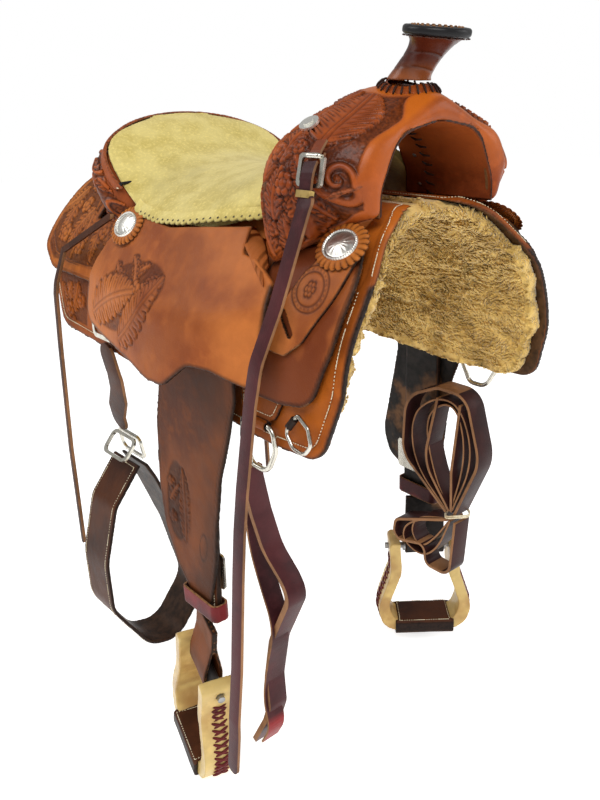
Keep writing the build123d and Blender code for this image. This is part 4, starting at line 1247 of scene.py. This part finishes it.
def make_conchos():
    """Silver conchos on pleated rosettes, in the four places for them."""
    rosettes, conchos = [], []
    for name, origin, normal in concho_faces():
        mesh = radial_mesh("rosette", origin, normal, 18, 288, rosette_profile)
        radial, angle = polar(18, 288)
        fold = 1 - np.abs(np.sin(angle * FLUTES / 2)) ** 0.5
        put(mesh, "cut", np.clip(fold * step(radial, 0.1, 0.7) * 0.9, 0, 1))
        put(mesh, "rim", step(radial, 0.93, 1.0))
        rosettes.append(link(f"rosette_{name}", mesh, "tree", HOUSING))
        mesh = radial_mesh("concho", origin, normal, 40, 264, concho_profile)
        radial, angle = polar(40, 264)
        groove = np.exp(-((radial - 0.8) / 0.025) ** 2)
        rope = (np.abs(np.sin(angle * ROPE_TURNS + radial * 9)) < 0.35) * (radial > 0.84)
        scrolls = np.abs(np.sin(angle * 7 + radial * 16)) < 0.16
        cut = groove * 0.8 + rope * 0.5 + scrolls * (radial < 0.72) * (radial > 0.2) * 0.35
        put(mesh, "cut", np.clip(cut, 0, 1))
        conchos.append(link(f"concho_{name}", mesh, "tree", SILVER))
    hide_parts("rosettes")
    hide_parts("conchos")


# ---------------------------------------------------------------- hanging pieces
def make_fenders():
    """Worn fenders with a small carved patch."""
    for side, sign in SIDES:
        skin = Skin(f"fender_{side}", 2.2, side_outward(sign))
        u, v = skin.uv()
        pattern = Tooling(u, v)
        patch = ellipse_inside(u, v, (22, -296), 26, 62, 4)
        pattern.background(patch, 0.6)
        pattern.leaf((6, -350), 96, 108, 16, -12, 10)
        pattern.flower((34, -322), 10, 5)
        pattern.flower((34, -272), 10, 5)
        pattern.leaf((40, -300), 120, 40, 8, 20, 4)
        pattern.limit(patch, -8, -2)
        skin.tool(pattern, 1.1)
        ring = np.exp(-(ellipse_inside(u, v, (-36, -340), 8, 20, 10) / 0.9) ** 2)
        skin.cut = np.maximum(skin.cut, ring * 0.7 * skin.outer)
        skin.round_edge(3, 1.2)
        skin.groove(6, 0.9, 0.4, 0.5)
        skin.uneven(1.0, 0.07, 51)
        wear = step(cloud(skin.co, 0.06, 15), 0.4, 0.7) * 0.6 + 0.5 * step(-u, -10, 60)
        skin.stain_and_shade = np.clip(wear, 0, 1) * 0.7
        skin.finish(FENDER, rim_width=4.5)


def plain_leather():
    """Smaller leather pieces: node, voxel, material, slot, outward, stitch distance or None."""
    up = lambda p: Vector((0, 0, 1))
    rows = [
        ("rigging_plates", 2.0, SKIRTING, "leather_tan", lambda p: Vector((p.x, 0, 0.1)), 5),
        ("leather_loops", 2.0, TAN, "leather_tan", lambda p: Vector((p.x, 0, 0.1)), None),
        ("rear_cinch", 1.9, DARK, "leather_dark", lambda p: Vector((p.x + 0.16, 0, p.z + 0.5)), 6),
    ]
    for side, sign in SIDES:
        out = side_outward(sign)
        rows += [
            (f"stirrup_leather_{side}", 2.4, FENDER, "leather_tan", out, 6),
            (f"stirrup_loop_{side}", 2.2, FENDER, "leather_tan", out, None),
            (f"stirrup_tread_{side}", 2.2, DARK, "leather_dark", up, 6),
            (f"hobble_strap_{side}", 1.5, BURGUNDY, "leather_burgundy",
             lambda p, s=sign: Vector((p.x - s * 0.21, p.y + 0.02, 0)), None),
        ]
    for node, voxel, material, slot, outward, seam in rows:
        skin = Skin(node, voxel, outward)
        skin.round_edge()
        skin.uneven(0.6, 0.04, 61)
        skin.stain_and_shade = step(cloud(skin.co, 0.05, 71), 0.42, 0.7) * 0.6
        skin.finish(material)
        if seam and skin.loops:
            for i in range(min(2, len(skin.loops))):
                stitches(f"{node}_stitches_{i}", skin, seam, 4.2, 3.0, 0.55, loop=i)


def make_rawhide():
    """Stirrups with a rawhide skin, and crossed lacing down both posts."""
    for side in ("left", "right"):
        x, y, z, yaw, tilt = STIRRUP_PLACES[side]
        turn = (Matrix.Translation((x * MM, y * MM, z * MM))
                @ Matrix.Rotation(math.radians(tilt), 4, "X")
                @ Matrix.Rotation(math.radians(yaw), 4, "Z"))
        skin = Skin(f"stirrup_frame_{side}", 2.2, lambda p: Vector((0, 1, 0)))
        skin.uneven(1.3, 0.035, 81)
        skin.label[:] = OUTER
        skin.edge[:] = 1
        skin.stain_and_shade = step(cloud(skin.co, 0.03, 91), 0.5, 0.75) * 0.5
        skin.finish(RAWHIDE)
        for face in (1, -1):
            for i in range(12):
                h = -22 - 10.2 * i
                reach = np.interp(-h, *STIRRUP_POST) + 0.9
                for lean in (5, -5):
                    line = [turn @ (Vector((w * 11, face * (reach - 2.4 * w * w),
                                            h + lean * w)) * MM) for w in np.linspace(-1, 1, 7)]
                    tag = f"{'a' if face > 0 else 'b'}{i}{'u' if lean > 0 else 'd'}"
                    tube(f"stirrup_lace_{side}_{tag}", [tuple(p) for p in line], 0.0021,
                         f"stirrup_{side}", LACE, 6)


def band_piece(node, material, outward, edge_material=RAW_EDGE):
    """Strap kept exactly as cut, with its raw edges and its two faces finished apart."""
    bm = welded(node)
    labels = sheet_labels(bm, outward)
    layer = bm.faces.layers.int.new("kind")
    for face in bm.faces:
        face[layer] = int(labels[face.index])
    sharp = [e for e in bm.edges if e.calc_face_angle(0) > math.radians(42)]
    bmesh.ops.bevel(bm, geom=sharp, offset=0.0005, segments=2, affect="EDGES", profile=0.5,
                    clamp_overlap=True)
    for face in bm.faces:
        face.material_index = 1 if face[layer] == RIM else 0
        face.smooth = True
    mesh = bpy.data.meshes.new(node + "_band")
    bm.to_mesh(mesh)
    bm.free()
    ob = link(node + "_strap", mesh, NODES[node]["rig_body"], material)
    mesh.materials.append(edge_material)
    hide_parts(node)
    return ob


def band(name, points, across, width, thick, body, material, slot=None, edge_material=None):
    """Flat strap along a smooth line, with raw edges; across is the direction of its width."""
    line = rounded(points, 0.006)
    along = np.gradient(line, axis=0)
    along /= np.linalg.norm(along, axis=1)[:, None]
    across = np.asarray(across, float)
    side = across - np.outer(along @ across, np.ones(3)) * along
    side /= np.linalg.norm(side, axis=1)[:, None]
    normal = np.cross(along, side)
    w, t, r = width / 2 * MM, thick / 2 * MM, min(0.5, thick / 4) * MM
    section = [(w, -t + r), (w, t - r), (w - r, t), (-w + r, t), (-w, t - r), (-w, -t + r),
               (-w + r, -t), (w - r, -t)]
    verts = [tuple(line[i] + side[i] * x + normal[i] * y) for i in range(len(line))
             for x, y in section]
    size = len(section)
    faces = rows_joined(len(line), size) + caps(len(line), size)
    kinds = [0 if k in (2, 6) else 1 for _ in line[1:] for k in range(size)]
    ob = link(name, new_mesh(name, verts, faces, False), body, material)
    ob.data.materials.append(edge_material or RAW_EDGE)
    ob.data.polygons.foreach_set("material_index", kinds + [1, 1])
    if slot:
        tail = np.clip((-np.array(verts)[:, 2] - 0.585) / 0.012, 0, 1)
        put(ob.data, "stain_and_shade", tail * (body == "off_billet"))
    return ob


def extra_plies():
    """Second ply of the off billet, more turns of the latigo, and the rope strap's buckle."""
    band("off_billet_ply", [(-190, -112, -212), (-182, -106, -262), (-176, -100, -320),
                            (-172, -112, -372), (-170, -134, -430), (-170, -112, -500),
                            (-170, -100, -560), (-170, -112, -600), (-168, -88, -640)],
         (1, 0, 0), 27, 3, "off_billet", BURGUNDY, "leather_burgundy")
    turns = [
        [(-118, -396), (-52, -340), (-44, -262), (-92, -220), (-140, -222), (-166, -300),
         (-128, -396)],
        [(-120, -394), (-88, -340), (-70, -262), (-104, -226), (-134, -232), (-150, -300),
         (-126, -394)],
        [(-120, -410), (-40, -446), (-26, -484), (-70, -500), (-104, -470), (-126, -412)],
        [(-122, -410), (-60, -430), (-44, -462), (-66, -486), (-96, -456), (-124, -412)],
    ]
    for i, turn in enumerate(turns):
        band(f"latigo_turn_{i}", [(174 + 2 * (i % 2), y, z) for y, z in turn], (1, 0, 0), 31, 2.8,
             "latigo", LATIGO, "leather_burgundy")
    origin, down = np.array([-151, -196, 126.0]), np.array([-0.24, 0, -0.97])
    out, fore = np.array([-0.94, -0.24, 0.24]), np.array([0, 1.0, 0])
    run = [origin + down * a + out * b for a, b in ((-8, 3), (0, 6.5), (10, 7), (20, 6), (30, 6),
                                                  (44, 7))]
    band("rope_strap_turn", run, fore, 18, 3, "rope_strap", BURGUNDY, "leather_burgundy")
    roller = [origin - down * 14 + out * 3 + fore * a for a in np.linspace(-12, 12, 9)]
    tube("hanger_roller", np.array(roller) * MM, 0.0029, "tree", NICKEL, 12)
    tab = [origin + down * a + out * b
           for a, b in ((-30, -9), (-22, -4), (-15, 0), (-8, -1), (-10, -5), (-18, -9))]
    band("hanger_tab", tab, fore, 15, 2.6, "tree", SMOOTH_AND_FORK_SHADE)
    keeper = [origin + down * 23 + out * b + fore * a
              for a, b in ((-11, 4), (-11, 9), (-8, 10.5), (8, 10.5), (11, 9), (11, 4))]
    band("hanger_keeper", keeper, down, 7, 1.6, "rope_strap", BRASS, "nickel", BRASS)


def make_seat_scallops():
    """Scalloped and punched lower edge of the seat leather, lying on the jockeys."""
    stations = [(-94, 117, 74), (-68, 127, 70), (-9, 143, 64), (42, 152, 57), (98, 154, 54),
                (147, 151, 60), (158, 150, 66)]
    ys, halves, zs = (np.array(c, float) for c in zip(*stations))
    for side, sign in SIDES:
        verts, faces, rows = [], [], 0
        out, up = np.array([0.72 * sign, 0, -0.69]), np.array([0.69 * sign, 0, 0.72])
        for y in np.arange(-94, 158, 0.6):
            base = np.array([np.interp(y, ys, halves) * sign, y, np.interp(y, ys, zs)])
            wave = abs(math.sin(math.pi * (y + 94) / 11.5)) ** 0.7
            reach = 6.5 + 3.2 * wave
            for share, lift in ((-8, 4.4), (-2, 4.2), (reach - 1.2, 3.2), (reach, 2.2),
                                (reach - 0.6, 0.2), (-8, 0.2)):
                verts.append(tuple((base + out * share + up * lift) * MM))
            rows += 1
        for i in range(rows - 1):
            for k in range(6):
                m = (k + 1) % 6
                faces.append((6 * i + k, 6 * i + 6 + k, 6 * i + 6 + m, 6 * i + m))
        faces += [tuple(range(6)), tuple(6 * (rows - 1) + k for k in range(6))[::-1]]
        mesh = new_mesh("scallops", verts, faces, False)
        put(mesh, "rim", np.tile([0, 0, 0.35, 1, 1, 0], rows) * 0.8)
        link(f"seat_scallops_{side}", mesh, "tree", SUEDE)
        if sign > 0:
            mesh.flip_normals()
        for i, y in enumerate(np.arange(-94 + 5.75, 150, 11.5)):
            base = np.array([np.interp(y, ys, halves) * sign, y, np.interp(y, ys, zs)])
            centre = Vector((base + out * 4.4 + up * 3.0) * MM)
            hole = radial_mesh("punch", centre, Vector(up), 4, 12,
                               lambda r, a: (1.5 * r * math.cos(a), 1.5 * r * math.sin(a),
                                             1.0 - 0.5 * (1 - r)))
            link(f"seat_punch_{side}_{i}", hole, "tree", BLACK)


def seat_front_corners():
    """Corners of seat leather that run forward under the fork's rear edge."""
    outer = np.array([(157, -70, 54.5), (161, -88, 46.5), (167, -106, 35), (174, -126, 21),
                      (180, -146, 9)], float)
    inner = np.array([(116, -52, 52), (124, -72, 46), (134, -92, 42), (146, -112, 34),
                      (156, -126, 24)], float)
    for side, sign in SIDES:
        a = rounded(outer * (sign, 1, 1), 0.004, 2)
        b = rounded(inner * (sign, 1, 1), 0.004, 2)
        pick = lambda line: line[np.linspace(0, len(line) - 1, 40).round().astype(int)]
        a, b = pick(a), pick(b)
        verts, faces, rows, cols = [], [], 40, 22
        for lift in (2.8, -0.6):
            for i in range(rows):
                for j in range(cols):
                    t = j / (cols - 1)
                    swell = 3 * math.sin(math.pi * t)
                    edge = -1.2 * max(0, 1 - 6 * t) * (lift > 0)
                    out = np.array([0.66 * sign, 0, 0.75]) * (lift + swell + edge) * MM
                    verts.append(a[i] * (1 - t) + b[i] * t + out)
        half = rows * cols
        for i in range(rows - 1):
            for j in range(cols - 1):
                k = i * cols + j
                faces += [(k, k + 1, k + cols + 1, k + cols),
                          (half + k, half + k + cols, half + k + cols + 1, half + k + 1)]
        ring = [j for j in range(cols)] + [i * cols + cols - 1 for i in range(1, rows)]
        ring += [(rows - 1) * cols + j for j in range(cols - 2, -1, -1)]
        ring += [i * cols for i in range(rows - 2, 0, -1)]
        for p, q in zip(ring, ring[1:] + ring[:1]):
            faces.append((q, p, half + p, half + q))
        mesh = new_mesh("seat_corner", verts, faces)
        if sign > 0:
            mesh.flip_normals()
        put(mesh, "stain_and_shade", 0.55 * cloud(np.array(verts), 0.05, 8))
        link(f"seat_corner_{side}", mesh, "tree", TAN)


def make_straps():
    """Straps and strings as cut, and the string round the latigo."""
    out_right, out_left = side_outward(-1), side_outward(1)
    for node, slot, outward, material in (
            ("rope_strap", "leather_burgundy", out_right, BURGUNDY),
            ("rear_string_right", "leather_burgundy", out_right, DARK),
            ("rear_string_left", "leather_burgundy", out_left, DARK),
            ("rear_billet", "leather_dark", out_right, DARK),
            ("off_billet", "leather_burgundy", lambda p: Vector((0, -1, 0.2)), BURGUNDY),
            ("latigo", "leather_burgundy", lambda p: Vector((0, -1, 0)), LATIGO)):
        band_piece(node, material, outward)
    turn = np.linspace(0, 2 * math.pi, 33)
    for i, lift in enumerate((0.0, 0.003)):
        ring = np.stack([0.174 + 0.021 * np.cos(turn), -0.128 + 0.016 * np.sin(turn),
                         -0.404 + lift + 0.003 * np.sin(turn * 2)], 1)
        tube(f"latigo_tie_{i}", ring, 0.0012, "latigo", THREAD)


# ---------------------------------------------------------------- hardware kept from the CAD
def finish_hardware():
    """CAD nodes whose shape is right keep it and get a real finish, except the tree's fork, whose
    darker smooth leather is painted shade of the undercut under the swells.
    """
    pairs = ("rigging_dee", "breast_dee", "blevins_buckle")
    nickel = [f"{name}_{side}" for name in pairs for side, _ in SIDES]
    nickel += ["cinch_buckles", "rear_rigging_dees", "strap_hanger"]
    rows = ((NICKEL, nickel), (SILVER, ["fork_screws"]), (TAN, ["tree_bars"]),
            (STEEL, ["stirrup_bolt_left", "stirrup_bolt_right", "horn_core"]),
            # the tree's fork shows in the undercut under the swells; its darker smooth leather
            # there is painted shade
            (SMOOTH_AND_FORK_SHADE, ["ground_seat", "tree_fork", "tree_cantle"]))
    for material, nodes in rows:
        for node in nodes:
            NODES[node].data.materials.clear()
            NODES[node].data.materials.append(material)
            for slot in NODES[node].material_slots:
                slot.material = material


def make_floor():
    """Pale floor just below the lowest piece."""
    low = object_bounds()[0].z - 0.003
    bm = bmesh.new()
    bmesh.ops.create_grid(bm, x_segments=4, y_segments=4, size=9)
    mesh = bpy.data.meshes.new("floor")
    bm.to_mesh(mesh)
    bm.free()
    floor = bpy.data.objects.new("floor", mesh)
    floor.location = (0, 0, low)
    bpy.context.scene.collection.objects.link(floor)
    s = Shader("pale floor")
    s.join(s.mix(s.noise(3), (0.93, 0.93, 0.93, 1), (0.91, 0.91, 0.91, 1)),
           s.shader.inputs["Base Color"])
    s.shader.inputs["Roughness"].default_value = 0.9
    s.shader.inputs["Emission Color"].default_value = (1, 1, 1, 1)
    s.shader.inputs["Emission Strength"].default_value = 0.68
    mesh.materials.append(s.material)


make_camera()
make_studio()
make_seat()
make_cantle()
make_seat_jockeys()
make_rear_jockeys()
make_front_jockeys()
make_keepers()
make_skirts()
make_fleece()
make_fork()
make_horn()
make_conchos()
make_fenders()
plain_leather()
make_rawhide()
make_straps()
extra_plies()
finish_hardware()
make_floor()
bpy.context.scene.view_settings.view_transform = "Standard"
